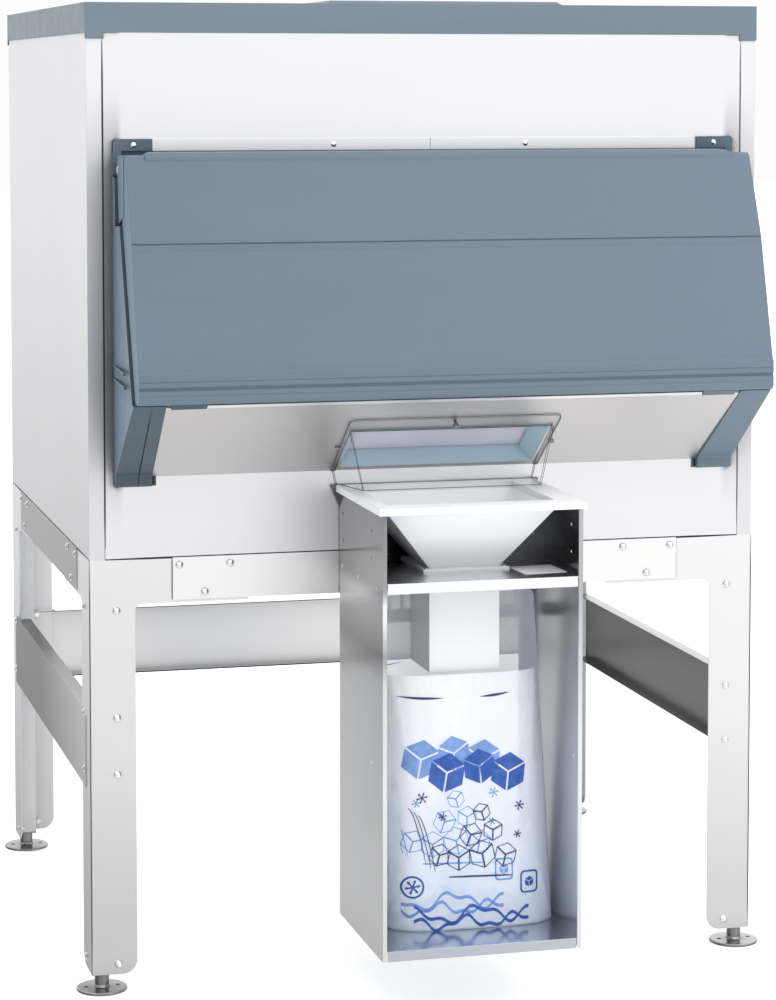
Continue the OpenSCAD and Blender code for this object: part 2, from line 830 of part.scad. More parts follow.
module foot_sockets() {
    color(zinc) for (sx = [-1, 1]) for (y0 = [face_y, back_y]) {
        sy = y0 < 0 ? -1 : 1;
        inner = tube - 2 * tube_t;
        translate([sx * (half_w - foot_inset), y0 - sy * foot_inset, leg_z + 1]) difference() {
            union() {
                translate([-tube / 2, -tube / 2, 0]) cube([tube, tube, 3]);
                translate([-inner / 2, -inner / 2, 3]) cube([inner, inner, 32]);
            }
            translate([0, 0, -1]) cylinder(r = stem_r + run_gap, h = 40);
        }
    }
}

module foot(sx, sy) {
    x0 = sx * (half_w - foot_inset);
    y0 = sy < 0 ? face_y + foot_inset : back_y - foot_inset;
    color(zinc) translate([x0, y0, 0]) difference() {
        union() {
            rotate_extrude($fn = 64) polygon([
                [0, 0], [foot_r - 1, 0], [foot_r, 1], [foot_r, foot_disc_h - 1],
                [foot_r - 2, foot_disc_h], [sleeve_r + 3, foot_disc_h + 1.5], [sleeve_r, foot_disc_h + 5],
                [sleeve_r, leg_z + 0.7], [0, leg_z + 0.7]
            ]);
            cylinder(r = stem_r, h = leg_z + 85);
        }
        for (x = [-anchor_x, anchor_x]) translate([x, 0, -1]) cylinder(r = anchor_r, h = foot_disc_h + 4);
    }
}

module foot_front_left() { foot(-1, -1); }
module foot_front_right() { foot(1, -1); }
module foot_rear_left() { foot(-1, 1); }
module foot_rear_right() { foot(1, 1); }

module splice_x_plate(y0) {
    color(bright) difference() {
        span([-splice_x, y0, stand_h - splice_h], [splice_x, y0 + plate, stand_h]);
        for (b = splice_marks(splice_x, 0)) rod_y([b[0], y0 - 1, b[1]], bolt_hole_r, plate + 2);
    }
}

module splice_y_plate(x0) {
    mid_y = face_y + body_d / 2;
    color(steel) difference() {
        span([x0, mid_y - splice_y, stand_h - splice_h], [x0 + plate, mid_y + splice_y, stand_h]);
        for (b = splice_marks(splice_y, 0)) rod_x([x0 - 1, mid_y + b[0], b[1]], bolt_hole_r, plate + 2);
    }
}

module splice_front() { splice_x_plate(face_y - plate); }
module splice_rear() { splice_x_plate(back_y); }
module splice_left() { splice_y_plate(-half_w - plate); }
module splice_right() { splice_y_plate(half_w); }

rail_inset = 50;
lip = 22;

// Channel that crosses two legs outside their side faces
module mid_rail_side(s) {
    x0 = s > 0 ? half_w : -half_w - plate;
    low = mid_top - mid_h;
    color(steel) difference() {
        union() {
            span([x0, face_y + rail_inset, low], [x0 + plate, back_y - rail_inset, mid_top]);
            for (z = [low, mid_top - plate])
                span([s > 0 ? x0 - lip : x0, face_y + leg_d + 4, z],
                    [s > 0 ? x0 + plate : x0 + lip + plate, back_y - leg_d - 4, z + plate]);
        }
        for (sy = [-1, 1]) {
            y0 = sy < 0 ? face_y : back_y;
            for (z = [leg_bolt_z[1], leg_bolt_z[2]])
                rod_x([x0 - 1, y0 - sy * side_bolt_inset, z], bolt_hole_r, plate + 2);
            // clipped ends
            translate([x0 - 1, y0 - sy * rail_inset, mid_top]) rotate([45, 0, 0])
                translate([0, -8, -8]) cube([plate + 2, 16, 16]);
        }
    }
}

module mid_rail_left() { mid_rail_side(-1); }
module mid_rail_right() { mid_rail_side(1); }

module mid_rail_rear() {
    low = mid_top - mid_h;
    end = half_w - 30;
    color(steel) difference() {
        union() {
            span([-end, back_y, low], [end, back_y + plate, mid_top]);
            for (z = [low, mid_top - plate])
                span([-half_w + leg_w + 4, back_y - lip, z], [half_w - leg_w - 4, back_y + plate, z + plate]);
        }
        for (s = [-1, 1]) for (z = [leg_bolt_z[1], leg_bolt_z[2]])
            rod_y([s * (half_w - leg_bolt_inset), back_y - 1, z], bolt_hole_r, plate + 2);
    }
}

// One bolt with its head at the origin, its shank running towards +Z
module bolt(grip) {
    mirror([0, 0, 1]) dome(bolt_head_r, bolt_head_h);
    cylinder(r = bolt_r, h = grip + nut_h + 3);
}

module nut(grip) {
    translate([0, 0, grip]) difference() {
        cylinder(r = nut_r, h = nut_h, $fn = 6);
        translate([0, 0, -1]) cylinder(r = bolt_r + run_gap, h = nut_h + 2, $fn = 48);
    }
}

// Calls bolt or nut at each place of the stand
module at_bolts(part) {
    for (sx = [-1, 1]) for (sy = [-1, 1]) {
        y0 = sy < 0 ? face_y : back_y;
        for (i = [0:3]) {
            on_rail = i == 1 || i == 2;
            front_grip = on_rail && sy > 0 ? 2 * plate : plate;
            side_grip = on_rail ? 2 * plate : plate;
            y_out = y0 + sy * (front_grip - plate);
            x_out = sx * (half_w + side_grip - plate);
            translate([sx * (half_w - leg_bolt_inset), y_out, leg_bolt_z[i]]) rotate([sy * 90, 0, 0])
                fastener(part, front_grip);
            translate([x_out, y0 - sy * side_bolt_inset, leg_bolt_z[i]]) rotate([0, -sx * 90, 0])
                fastener(part, side_grip);
        }
    }
    for (sy = [-1, 1]) for (b = splice_marks(splice_x, 0))
        translate([b[0], sy < 0 ? face_y - plate : back_y + plate, b[1]]) rotate([sy * 90, 0, 0])
            fastener(part, 2 * plate);
    for (sx = [-1, 1]) for (b = splice_marks(splice_y, 0))
        translate([sx * (half_w + plate), face_y + body_d / 2 + b[0], b[1]]) rotate([0, -sx * 90, 0])
            fastener(part, 2 * plate);
}

module fastener(part, grip) {
    if (part == "bolt") bolt(grip);
    else nut(grip);
}

module stand_bolts() { color(zinc) at_bolts("bolt"); }
module stand_nuts() { color(zinc) at_bolts("nut"); }

// Bagging station
module bagger_hanger() {
    y0 = face_y - bag_back;
    color(steel) difference() {
        union() {
            translate([bag_x, y0 + hanger_t, 0]) rotate([90, 0, 0]) linear_extrude(hanger_t) polygon([
                [-bag_w / 2, stand_h - 62], [bag_w / 2, stand_h - 62], [bag_w / 2, bag_top - 28],
                [bag_w / 2 + 17, bag_top + 14], [-bag_w / 2 - 17, bag_top + 14], [-bag_w / 2, bag_top - 28]
            ]);
            // packer between the hanger and the cabinet face, above the stand
            span([bag_l + 20, y0 + hanger_t, stand_h + 10], [bag_r - 20, face_y, stand_h + 60]);
        }
        span([bag_l + 60, face_y - 20, stand_h - 63], [bag_r - 60, face_y + 1, stand_h - 20]);
    }
}

bag_sheet = 1.5;
back_flange = 20;

module bagger_side(s) {
    x0 = s > 0 ? bag_r - bag_sheet : bag_l;
    yb = face_y - bag_back;
    yf = face_y - bag_front;
    fx = s > 0 ? x0 + bag_sheet - flange : x0;
    bx = s > 0 ? x0 + bag_sheet - back_flange : x0;
    color(steel) difference() {
        union() {
            span([x0, yf, bag_low], [x0 + bag_sheet, yb, bag_top]);
            span([fx, yf, bag_low], [fx + flange, yf + bag_sheet, bag_top]);
            span([bx, yb - bag_sheet, bag_low + shelf_lip], [bx + back_flange, yb, shelf_z - shelf_lip]);
        }
        for (m = [[26, 34], [s > 0 ? 248 : 232, 34], [28, 81], [s > 0 ? 248 : 231, 81],
            [17, 434], [s > 0 ? 266 : 229, 431]])
            rod_x([x0 - 2, yb - m[0], bag_top - m[1]], 3, bag_sheet + 4);
    }
}

module bagger_side_left() { bagger_side(-1); }
module bagger_side_right() { bagger_side(1); }

// Tray shelf with turned-down edges
module tray(z, holes) {
    yb = face_y - bag_back;
    yf = face_y - bag_front;
    x0 = bag_l + bag_sheet;
    x1 = bag_r - bag_sheet;
    union() {
        span([x0, yf + bag_sheet, z - bag_sheet], [x1, yb, z]);
        span([x0 + flange, yf, z - shelf_lip], [x1 - flange, yf + bag_sheet, z]);
        for (x = [x0, x1 - bag_sheet])
            span([x, yf + bag_sheet, z - shelf_lip], [x + bag_sheet, yb - 2, z]);
    }
}

module upper_shelf() {
    color(steel) difference() {
        tray(shelf_z);
        span([bag_x - chute / 2 - 0.5, face_y - chute_front - 0.5, shelf_z - 30],
            [bag_x + chute / 2 + 0.5, face_y - chute_back + 0.5, shelf_z + 1]);
    }
}

module lower_shelf() {
    color(steel) tray(bag_low + shelf_lip);
}

module bagger_screws() {
    yb = face_y - bag_back;
    color(zinc) for (s = [-1, 1]) for (z = [shelf_z - 13, bag_low + 5]) for (d = [24, 142, 268]) {
        x = s > 0 ? bag_r : bag_l;
        translate([x, yb - d, z]) rotate([0, s * 90, 0]) dome(3.5, 1.8);
    }
}

// Hopper: rim, sloping funnel and straight chute in one moulding
funnel_top = rim_top - 12;
funnel_low = shelf_z + 4;

// Four-sided funnel shrunk by t, where two trapezium prisms cross
module funnel(t) {
    x0 = bag_l - rim_over + rim_w + t;
    x1 = bag_r + rim_over - rim_right - t;
    u0 = bag_back + rim_w + t;
    u1 = bag_front + rim_out - rim_front - t;
    half = chute / 2 - t;
    intersection() {
        translate([0, face_y - 400, 0]) rotate([-90, 0, 0]) linear_extrude(400) polygon([
            [x0, -funnel_top], [x1, -funnel_top], [bag_x + half, -funnel_low], [bag_x - half, -funnel_low]
        ]);
        across(bag_l - 50, bag_r + 50) polygon([
            [u0, funnel_top], [u1, funnel_top],
            [chute_front - t, funnel_low], [chute_back + t, funnel_low]
        ]);
    }
}

module chute_box(grow, z0, z1) {
    span([bag_x - chute / 2 - grow, face_y - chute_front - grow, z0],
        [bag_x + chute / 2 + grow, face_y - chute_back + grow, z1]);
}

module hopper() {
    t = hopper_t;
    yf = face_y - bag_front - rim_out;
    yb = face_y - bag_back;
    color(white) difference() {
        union() {
            // rolled rim
            span([bag_l - rim_over, yf, funnel_top], [bag_r + rim_over, yb, rim_top]);
            funnel(0);
            chute_box(0, chute_low, funnel_low);
            // foot flange on the shelf
            chute_box(14, shelf_z, funnel_low);
        }
        span([bag_l - rim_over + rim_w + t, yf + rim_front + t, funnel_top],
            [bag_r + rim_over - rim_right - t, yb - rim_w - t, rim_top + 1]);
        funnel(t);
        chute_box(-t, chute_low - 1, funnel_low);
    }
}

module hopper_screws() {
    color(zinc) for (sx = [-1, 1]) for (y = [face_y - chute_front - 8, face_y - chute_back + 8])
        translate([bag_x + sx * (chute / 2 + 8), y, shelf_z + 4]) dome(4, 2.4);
}

// Clear guard between the slope and the hopper
guard_low = rim_top + 4;
guard_fold = slope_z(guard_out) - 0.5;
guard_lean = atan((guard_w - guard_low_w) / (guard_fold - guard_low));
guard_lip = 6;
guard_gap = 0.3;
lip_top = 36;

module ice_guard() {
    t = guard_t;
    fold_v = guard_out / cos(slope_ang);
    color([0.8, 0.88, 0.92, 0.45]) difference() {
        union() {
            // front plate, a trapezium
            translate([bag_x, face_y - guard_out + t, 0]) rotate([90, 0, 0]) linear_extrude(t) polygon([
                [-guard_low_w, guard_low], [guard_low_w, guard_low],
                [guard_w, guard_fold - t], [-guard_w, guard_fold - t]
            ]);
            for (s = [-1, 1]) guard_wing(s);
            // lip that lies on the slope round three sides
            outlet_place() translate([0, 0, -guard_gap - t]) linear_extrude(t) difference() {
                guard_outline(guard_w + guard_lip, fold_v + lip_top, 12);
                translate([-guard_w + 1, -1]) square([2 * guard_w - 2, fold_v - 1]);
            }
        }
        outlet_place() translate([0, fold_v + 20, -10]) cylinder(r = 2.3, h = 20);
        // nothing of it reaches into the slope
        across(bag_x - guard_w - 20, bag_x + guard_w + 20) polygon([
            [-20, slope_z(0) - 14], [-0.2 + guard_gap, slope_z(0) - 14], [guard_gap, slope_z(0) - guard_gap],
            [200, slope_z(200) - guard_gap], [200, 1200], [-20, 1200]
        ]);
    }
}

// Rectangle with two rounded upper corners
module guard_outline(w, h, r) {
    union() {
        translate([-w, 3]) square([2 * w, h - r - 3]);
        translate([-w + r, h - r - 1]) square([2 * w - 2 * r, r + 1]);
        for (x = [-w + r, w - r]) translate([x, h - r]) circle(r);
    }
}

// Side wing: splays out towards the cabinet and follows the slope, then the cabinet face
module guard_wing(s) {
    intersection() {
        across(bag_x - guard_w - 30, bag_x + guard_w + 30) polygon([
            [0.3, guard_low - 2], [guard_out, guard_low], [guard_out, guard_fold], [guard_out - 1, guard_fold],
            [0.3, slope_z(0) - 0.3]
        ]);
        translate([bag_x + s * guard_low_w, face_y - guard_out, guard_low]) rotate([0, 0, -s * guard_splay])
            rotate([0, s * guard_lean * cos(guard_splay), 0])
            translate([s > 0 ? -guard_t : 0, -5, -40]) cube([guard_t, 160, 200]);
    }
}

module guard_thumbscrews() {
    fold_v = guard_out / cos(slope_ang);
    stud_v = 70 / cos(slope_ang);
    color(dark) outlet_place() {
        // thumbscrew at the middle of the lip
        translate([0, fold_v + 20, -guard_gap - guard_t - 9]) union() {
            cylinder(r = 5, h = 6);
            cylinder(r = 2, h = 9 + guard_t);
        }
        // studs at the edges of the lip
        for (s = [-1, 1]) translate([s * (guard_w + guard_lip), stud_v, -guard_gap - 2.6])
            rotate([0, s * 90, 0]) cylinder(r = 2.2, h = 9);
    }
}

// Rail and straps behind the chute that carry the bag's pins
bracket_u = 12;
bar_low = shelf_z - 117;
bar_high = shelf_z - 97;
strap_x = [-147, -63, 63, 147];

module bag_bracket() {
    y1 = face_y - bracket_u;
    color(white) union() {
        span([bag_l + back_flange + 2, y1 - 2, bar_low], [bag_r - back_flange - 2, y1, bar_high]);
        // ledge with the pins
        span([bag_l + back_flange + 2, y1 - 26, bar_low], [bag_r - back_flange - 2, y1, bar_low + 2]);
        for (x = strap_x) {
            span([bag_x + x - 3.5, y1 - 2, bar_low], [bag_x + x + 3.5, y1, shelf_z - bag_sheet]);
        }
    }
}

pin_u = bracket_u + 20;

module bag_wicket() {
    color(zinc) for (s = [-1, 1]) translate([bag_x + s * 90, face_y - pin_u, bar_low + 2]) union() {
        cylinder(r = 2.5, h = 40);
        cylinder(r = 6, h = 2);
    }
}

// Open bag of film: rings of points up the outside, over the mouth and down the inside.
// Its mouth is low in front and reaches the bracket at the sides and the rear.
bag_floor = bag_low + shelf_lip + 0.3;
bag_rings = 10;
bag_sides = 28;
film = 1.2;
bag_front_z = stand_h - 188;
bag_rear_z = stand_h - 62;

function bag_point(t, g, inset) =
    let (
        a = bag_film_w / 2 + 2 - 9 * t - inset,
        b = 80 - 4 * t + 2 * sin(540 * t) - inset,
        cx = bag_x + 18 - 20 * t,
        cu = 137 - 4 * t,
        fold = 1 + 0.012 * sin(7 * g) * sin(180 * t),
        x = cx + a * fold * sign(cos(g)) * pow(abs(cos(g)), 0.42),
        u = cu + b * fold * sign(sin(g)) * pow(abs(sin(g)), 0.75),
        rise = min(1, max(0, 1 - sin(g) / 0.45)),
        high = bag_front_z + (bag_rear_z - bag_front_z) * rise * rise * (3 - 2 * rise),
        low = bag_floor + inset
    )
    [x, face_y - u, low + t * (high - low)];

function bag_ring(t, inset) = [for (k = [0:bag_sides - 1]) bag_point(t, 360 * k / bag_sides, inset)];

module ice_bag() {
    n = bag_sides;
    up = [for (i = [0:bag_rings - 1]) i / (bag_rings - 1)];
    pts = concat([for (t = up) each bag_ring(t, 0)],
        [for (i = [bag_rings - 1:-1:0]) each bag_ring(up[i], film)]);
    rows = 2 * bag_rings;
    under = [for (k = [0:n - 1]) k];
    inside = [for (k = [n - 1:-1:0]) (rows - 1) * n + k];
    walls = [for (i = [0:rows - 2]) for (k = [0:n - 1])
        let (m = (k + 1) % n)
        each [
            [i * n + k, (i + 1) * n + m, i * n + m],
            [i * n + k, (i + 1) * n + k, (i + 1) * n + m]
        ]];
    color([0.8, 0.87, 0.97, 0.6]) polyhedron(points = pts, faces = concat([under, inside], walls));
}

module note_card() {
    color(white) translate([bag_x + 121, face_y - 231, shelf_z]) rotate([0, 0, 4])
        translate([-38, -38, 0]) cube([76, 76, 1]);
}

side_panel_left();
side_panel_right();
front_panel();
rear_panel();
base_pan();
insulation();
liner();
ceiling();
top_deck();
deck_insulation();
surround();
slope_panel();
header_strip();
surround_screws();
hinge_bracket_left();
hinge_bracket_right();
hinge_pins();
door_outer();
door_insulation();
door_inner();
door_gasket();
outlet_sleeve();
outlet_gate();
gate_guides();
drain_fitting();
leg_front_left();
leg_front_right();
leg_rear_left();
leg_rear_right();
leg_tubes();
splice_front();
splice_rear();
splice_left();
splice_right();
mid_rail_left();
mid_rail_right();
mid_rail_rear();
stand_bolts();
stand_nuts();
foot_sockets();
foot_front_left();
foot_front_right();
foot_rear_left();
foot_rear_right();
bagger_hanger();
bagger_side_left();
bagger_side_right();
upper_shelf();
lower_shelf();
bagger_screws();
hopper();
hopper_screws();
ice_guard();
guard_thumbscrews();
bag_bracket();
bag_wicket();
ice_bag();
note_card();
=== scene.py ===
"""Materials, film bag, print, seams, light and camera of the ice storage bin.

Lengths are in metres in the CAD's frame: +X to the right, +Y to the rear, +Z up.
"""
import math

import bmesh
import bpy
from mathutils import Euler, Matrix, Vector


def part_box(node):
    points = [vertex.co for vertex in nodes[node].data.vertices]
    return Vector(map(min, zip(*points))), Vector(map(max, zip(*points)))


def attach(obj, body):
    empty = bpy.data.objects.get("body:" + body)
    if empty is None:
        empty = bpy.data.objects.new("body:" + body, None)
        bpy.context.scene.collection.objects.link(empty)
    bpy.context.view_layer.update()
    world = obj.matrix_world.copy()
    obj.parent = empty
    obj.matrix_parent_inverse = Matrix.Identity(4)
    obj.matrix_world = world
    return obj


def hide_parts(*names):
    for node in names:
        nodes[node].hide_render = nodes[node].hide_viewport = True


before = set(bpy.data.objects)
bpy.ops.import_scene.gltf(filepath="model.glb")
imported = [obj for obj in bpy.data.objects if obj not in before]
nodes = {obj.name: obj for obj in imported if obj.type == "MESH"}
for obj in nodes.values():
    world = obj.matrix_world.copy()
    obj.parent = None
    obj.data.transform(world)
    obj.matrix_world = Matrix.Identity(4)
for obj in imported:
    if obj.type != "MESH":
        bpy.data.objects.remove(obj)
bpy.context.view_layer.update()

# Camera: the photograph's viewing angle and framing

CAMERA_AT = (-1.3758, -5.43315, 1.5881)
CAMERA_YAW = 14.4146
CAMERA_DOWN = 4.0130
CAMERA_LENS = 106.86
CAMERA_SENSOR = 36
CAMERA_SHIFT = -0.21
CAMERA_FAR = 200

cam_data = bpy.data.cameras.new("camera")
cam_data.lens = CAMERA_LENS
cam_data.sensor_width = CAMERA_SENSOR
cam_data.sensor_fit = "AUTO"
cam_data.shift_y = CAMERA_SHIFT
cam_data.clip_end = CAMERA_FAR
camera = bpy.data.objects.new("camera", cam_data)
camera.location = CAMERA_AT
camera.rotation_euler = Euler((math.radians(90 - CAMERA_DOWN), 0, math.radians(-CAMERA_YAW)))
bpy.context.scene.collection.objects.link(camera)
bpy.context.scene.camera = camera
bpy.context.scene.view_settings.view_transform = "Standard"


# Shader nodes


def srgb(red, green, blue):
    """A linear colour from the 0 to 255 values of a screen."""
    def linear(c):
        c /= 255
        return c / 12.92 if c <= 0.04045 else ((c + 0.055) / 1.055) ** 2.4

    return (linear(red), linear(green), linear(blue), 1)


def times(colour, factor):
    """A colour made brighter or darker, no brighter than white."""
    return tuple(min(1, c * factor) for c in colour[:3]) + (1,)


class Shader:
    """A material on the Principled shader, built from socket to socket."""

    def __init__(self, name):
        self.mat = bpy.data.materials.new(name)
        self.mat.use_nodes = True
        self.tree = self.mat.node_tree
        self.bsdf = self.tree.nodes["Principled BSDF"]
        places = self.add("ShaderNodeTexCoord").outputs
        self.coord = places["Object"]
        self.normal = places["Normal"]

    def add(self, kind, **sets):
        node = self.tree.nodes.new(kind)
        for key, value in sets.items():
            setattr(node, key, value)
        return node

    def link(self, a, b):
        self.tree.links.new(a, b)

    def set(self, **values):
        """Sets sockets that are the same all over, an underscore standing for a blank."""
        for key, value in values.items():
            self.bsdf.inputs[key.replace("_", " ")].default_value = value

    def noise(self, scale, detail=3, rough=0.5, stretch=(1, 1, 1)):
        mapping = self.add("ShaderNodeMapping")
        mapping.inputs["Scale"].default_value = stretch
        self.link(self.coord, mapping.inputs["Vector"])
        noise = self.add("ShaderNodeTexNoise")
        noise.inputs["Scale"].default_value = scale
        noise.inputs["Detail"].default_value = detail
        noise.inputs["Roughness"].default_value = rough
        self.link(mapping.outputs["Vector"], noise.inputs["Vector"])
        return noise.outputs["Fac"]

    def span(self, value, lo, hi, a=0.0, b=1.0):
        """Maps value from lo to hi onto a to b, held at both ends."""
        node = self.add("ShaderNodeMapRange")
        for name, v in (("From Min", lo), ("From Max", hi), ("To Min", a), ("To Max", b)):
            node.inputs[name].default_value = v
        self.link(value, node.inputs["Value"])
        return node.outputs["Result"]

    def blend(self, factor, a, b):
        """A colour from a at factor 0 to b at factor 1."""
        node = self.add("ShaderNodeMix", data_type="RGBA")
        self.link(factor, node.inputs[0])
        for socket, value in ((node.inputs[6], a), (node.inputs[7], b)):
            if isinstance(value, tuple):
                socket.default_value = value
            else:
                self.link(value, socket)
        return node.outputs[2]

    def part(self, vector, axis):
        node = self.add("ShaderNodeSeparateXYZ")
        self.link(vector, node.inputs[0])
        return node.outputs[axis]

    def unsigned(self, value):
        node = self.add("ShaderNodeMath", operation="ABSOLUTE")
        self.link(value, node.inputs[0])
        return node.outputs[0]

    def sideways(self, left_only=False):
        """How far a face looks to the left or right, or to the left only."""
        side = self.part(self.normal, "X")
        return self.span(side, 0, -1) if left_only else self.unsigned(side)

    def scale(self, value, factor):
        node = self.add("ShaderNodeVectorMath", operation="SCALE")
        self.link(value, node.inputs[0])
        self.link(factor, node.inputs["Scale"])
        return node.outputs[0]

    def shade(self, value, distance, depth, closed=0.15):
        """Paints shade: darkens value where other faces stand within distance, by up to depth in the closest
        corners.
        """
        corner_shade = self.add("ShaderNodeAmbientOcclusion", samples=2)
        corner_shade.inputs["Distance"].default_value = distance
        return self.scale(value, self.span(corner_shade.outputs["AO"], closed, 0.95, 1 - depth, 1.0))

    def ramp(self, value, stops):
        """Brightness between stops, each a place from 0 to 1 and the brightness there."""
        node = self.add("ShaderNodeValToRGB")
        self.link(value, node.inputs["Fac"])
        marks = node.color_ramp.elements
        marks[0].position = stops[0][0]
        marks[1].position = stops[-1][0]
        for place, _ in stops[1:-1]:
            marks.new(place)
        for mark, (_, bright) in zip(marks, stops):
            mark.color = (bright, bright, bright, 1)
        return node.outputs["Color"]

    def colour(self, value):
        self.link(value, self.bsdf.inputs["Base Color"])

    def rough(self, value):
        self.link(value, self.bsdf.inputs["Roughness"])

    def bump(self, height, strength, distance, edge=0.0):
        """Relief from height, and edges rounded by the radius edge."""
        node = self.add("ShaderNodeBump")
        node.inputs["Strength"].default_value = strength
        node.inputs["Distance"].default_value = distance
        self.link(height, node.inputs["Height"])
        if edge:
            bevel = self.add("ShaderNodeBevel", samples=4)
            bevel.inputs["Radius"].default_value = edge
            self.link(bevel.outputs["Normal"], node.inputs["Normal"])
        self.link(node.outputs["Normal"], self.bsdf.inputs["Normal"])


# Kinds of material

WHITE = (1, 1, 1, 1)
ALONG = {"x": (0.02, 1, 1), "z": (1, 1, 0.02)}
BRUSH_SCALE = 900
SHEET_CLOUD = 2.2
BRUSH_HEIGHT = 0.0004
SHADE_FREE_EDGE = 0.01
HEM_HIGHLIGHT_EDGE = 0.0006
MOULD_CLOUD = 1.6
PEEL_SCALE = 420
PEEL_HEIGHT = 0.0006
END_X = 0.5


def steel(name, base, rough=0.34, grain="x", tint=0.03, edge=0.0008, corner_shade=(0.05, 0.55), brush=0.03,
          flank_lighting=1.0, left_only=False, shade_free_x=None, hem_highlight_z=None, light_fade=None, reflection_bands=()):
    """Brushed sheet: near paints shade into its corners, with the distance, depth and closed of Shader.shade.

    flank is the brightness of the faces that look sideways, or to the left only: painted shade on them.
    Corners get no painted shade within shade_free_x of the middle, and above hem_highlight_z a painted
    highlight makes the sheet white along its hem.
    fade is an axis, two places on it and how bright the sheet is at each: painted light and shade along it.
    bands are heights and how bright the sheet is at each: painted reflections in level stripes.
    """
    s = Shader(name)
    s.set(Metallic=1.0)
    fine = s.noise(BRUSH_SCALE, 2, 0.6, ALONG[grain])
    cloud = s.noise(SHEET_CLOUD, 2)
    sheet = s.blend(s.span(cloud, 0.35, 0.65), times(base, 1 - tint), base)
    # painted shade on the faces that look sideways
    if flank_lighting < 1:
        sheet = s.blend(s.sideways(left_only), sheet, times(base, flank_lighting))
    # painted shade in the corners, left off close to the middle where shade_free_x is set
    dark = s.shade(sheet, *corner_shade)
    if shade_free_x:
        middle = s.unsigned(s.part(s.coord, "X"))
        dark = s.blend(s.span(middle, shade_free_x, shade_free_x + SHADE_FREE_EDGE), sheet, dark)
    # painted highlight: white along the hem
    if hem_highlight_z:
        dark = s.blend(s.span(s.part(s.coord, "Z"), hem_highlight_z, hem_highlight_z + HEM_HIGHLIGHT_EDGE), dark, WHITE)
    # painted light and shade along one axis
    if light_fade:
        axis, start, end, start_bright, end_bright = light_fade
        dark = s.scale(dark, s.span(s.part(s.coord, axis), start, end, start_bright, end_bright))
    # painted reflections in level stripes
    if reflection_bands:
        dark = s.scale(dark, s.ramp(s.part(s.coord, "Z"), reflection_bands))
    s.colour(dark)
    s.rough(s.span(fine, 0.3, 0.7, rough - brush, rough + brush))
    s.bump(fine, brush, BRUSH_HEIGHT, edge)
    return s.mat


def moulding(name, base, rough=0.42, streak=0.04, grain=0.06, edge=0.0016, spec=0.4, corner_shade=(0.03, 0.6),
             flank_lighting=None, right=None, painted_top_light=None):
    """Moulded plastic: near paints shade into its corners, as for steel.

    flank is the colour of the faces that look sideways, upward that of the faces that look up,
    and right that of the bin's right end: each is painted light on those faces.
    """
    s = Shader(name)
    s.set(Specular_IOR_Level=spec)
    cloud = s.noise(MOULD_CLOUD, 3, 0.6, (1, 1, 5))
    skin = s.blend(s.span(cloud, 0.3, 0.7), times(base, 1 - streak), times(base, 1 + streak))
    # painted light on the bin's right end
    if right:
        skin = s.blend(s.span(s.part(s.coord, "X"), -END_X, END_X), skin, right)
    # painted light on the faces that look sideways
    if flank_lighting:
        skin = s.blend(s.sideways(), skin, flank_lighting)
    # painted shade in the corners
    skin = s.shade(skin, *corner_shade)
    # painted light on the faces that look up
    if painted_top_light:
        skin = s.blend(s.span(s.part(s.normal, "Z"), 0.1, 0.3), skin, painted_top_light)
    s.colour(skin)
    s.rough(s.span(s.noise(30, 2), 0.3, 0.7, rough - 0.04, rough + 0.05))
    s.bump(s.noise(PEEL_SCALE, 2), grain, PEEL_HEIGHT, edge)
    return s.mat


def clear_plate(name):
    """The clear guard: almost no tint, a faint wave."""
    s = Shader(name)
    s.set(Base_Color=srgb(232, 236, 240), Alpha=0.02, Specular_IOR_Level=0.6)
    s.rough(s.span(s.noise(6, 2), 0.3, 0.7, 0.05, 0.12))
    s.bump(s.noise(2.5, 2), 0.04, 0.002)
    return s.mat


def film_shader(name, tint, cloud_tint, rim_tint, alpha):
    """Milky film, paler towards its rim; its bluer lower part is a painted bluish reflection."""
    s = Shader(name)
    s.set(Specular_IOR_Level=0.55)
    cloud = s.noise(7, 3, 0.55, (1, 1, 0.5))
    low = s.blend(s.span(cloud, 0.3, 0.7), tint, cloud_tint)
    s.colour(s.blend(s.span(s.part(s.coord, "Z"), 0.22, 0.50), low, rim_tint))
    s.rough(s.span(cloud, 0.3, 0.7, 0.18, 0.34))
    s.link(s.span(cloud, 0.3, 0.7, alpha - 0.07, alpha + 0.07), s.bsdf.inputs["Alpha"])
    s.bump(s.noise(38, 3, 0.6, (1, 1, 0.35)), 0.42, 0.005)
    return s.mat


def ink_shader(name, base, alpha):
    """Printed ink with paler clouds."""
    s = Shader(name)
    s.set(Alpha=alpha, Specular_IOR_Level=0.5)
    cloud = s.noise(60, 3, 0.6)
    pale = tuple(min(1, c * 1.35 + 0.03) for c in base[:3]) + (1,)
    s.colour(s.blend(s.span(cloud, 0.35, 0.75), base, pale))
    s.rough(s.span(cloud, 0.3, 0.7, 0.28, 0.42))
    return s.mat


# Materials of the CAD's pieces

# front_steel: deep painted shade beside the surround stands in for a dark reflection of it, left off within
# 0.548 of the middle; from 1.05 down to 0.82 the panel is painted up to a tenth lighter, a painted reflection
# of the white hopper.
front_steel = steel("front_steel", (0.80, 0.80, 0.815, 1), rough=0.38, corner_shade=(0.12, 0.95, 0.50), brush=0.02,
                    shade_free_x=0.548, light_fade=("Z", 0.82, 1.05, 1.10, 1.0))
# side_steel: deep painted shade close to other parts, darkest on the side panels' front returns beside the
# surround.
side_steel = steel("side_steel", (0.80, 0.80, 0.82, 1), rough=0.36, grain="z", corner_shade=(0.13, 0.85, 0.35),
                   brush=0.015)
# slope_steel: above 1.0424 a painted highlight makes the sheet white along its hem.
slope_steel = steel("slope_steel", (0.74, 0.725, 0.72, 1), rough=0.38, corner_shade=(0.006, 0.08), hem_highlight_z=1.0424)
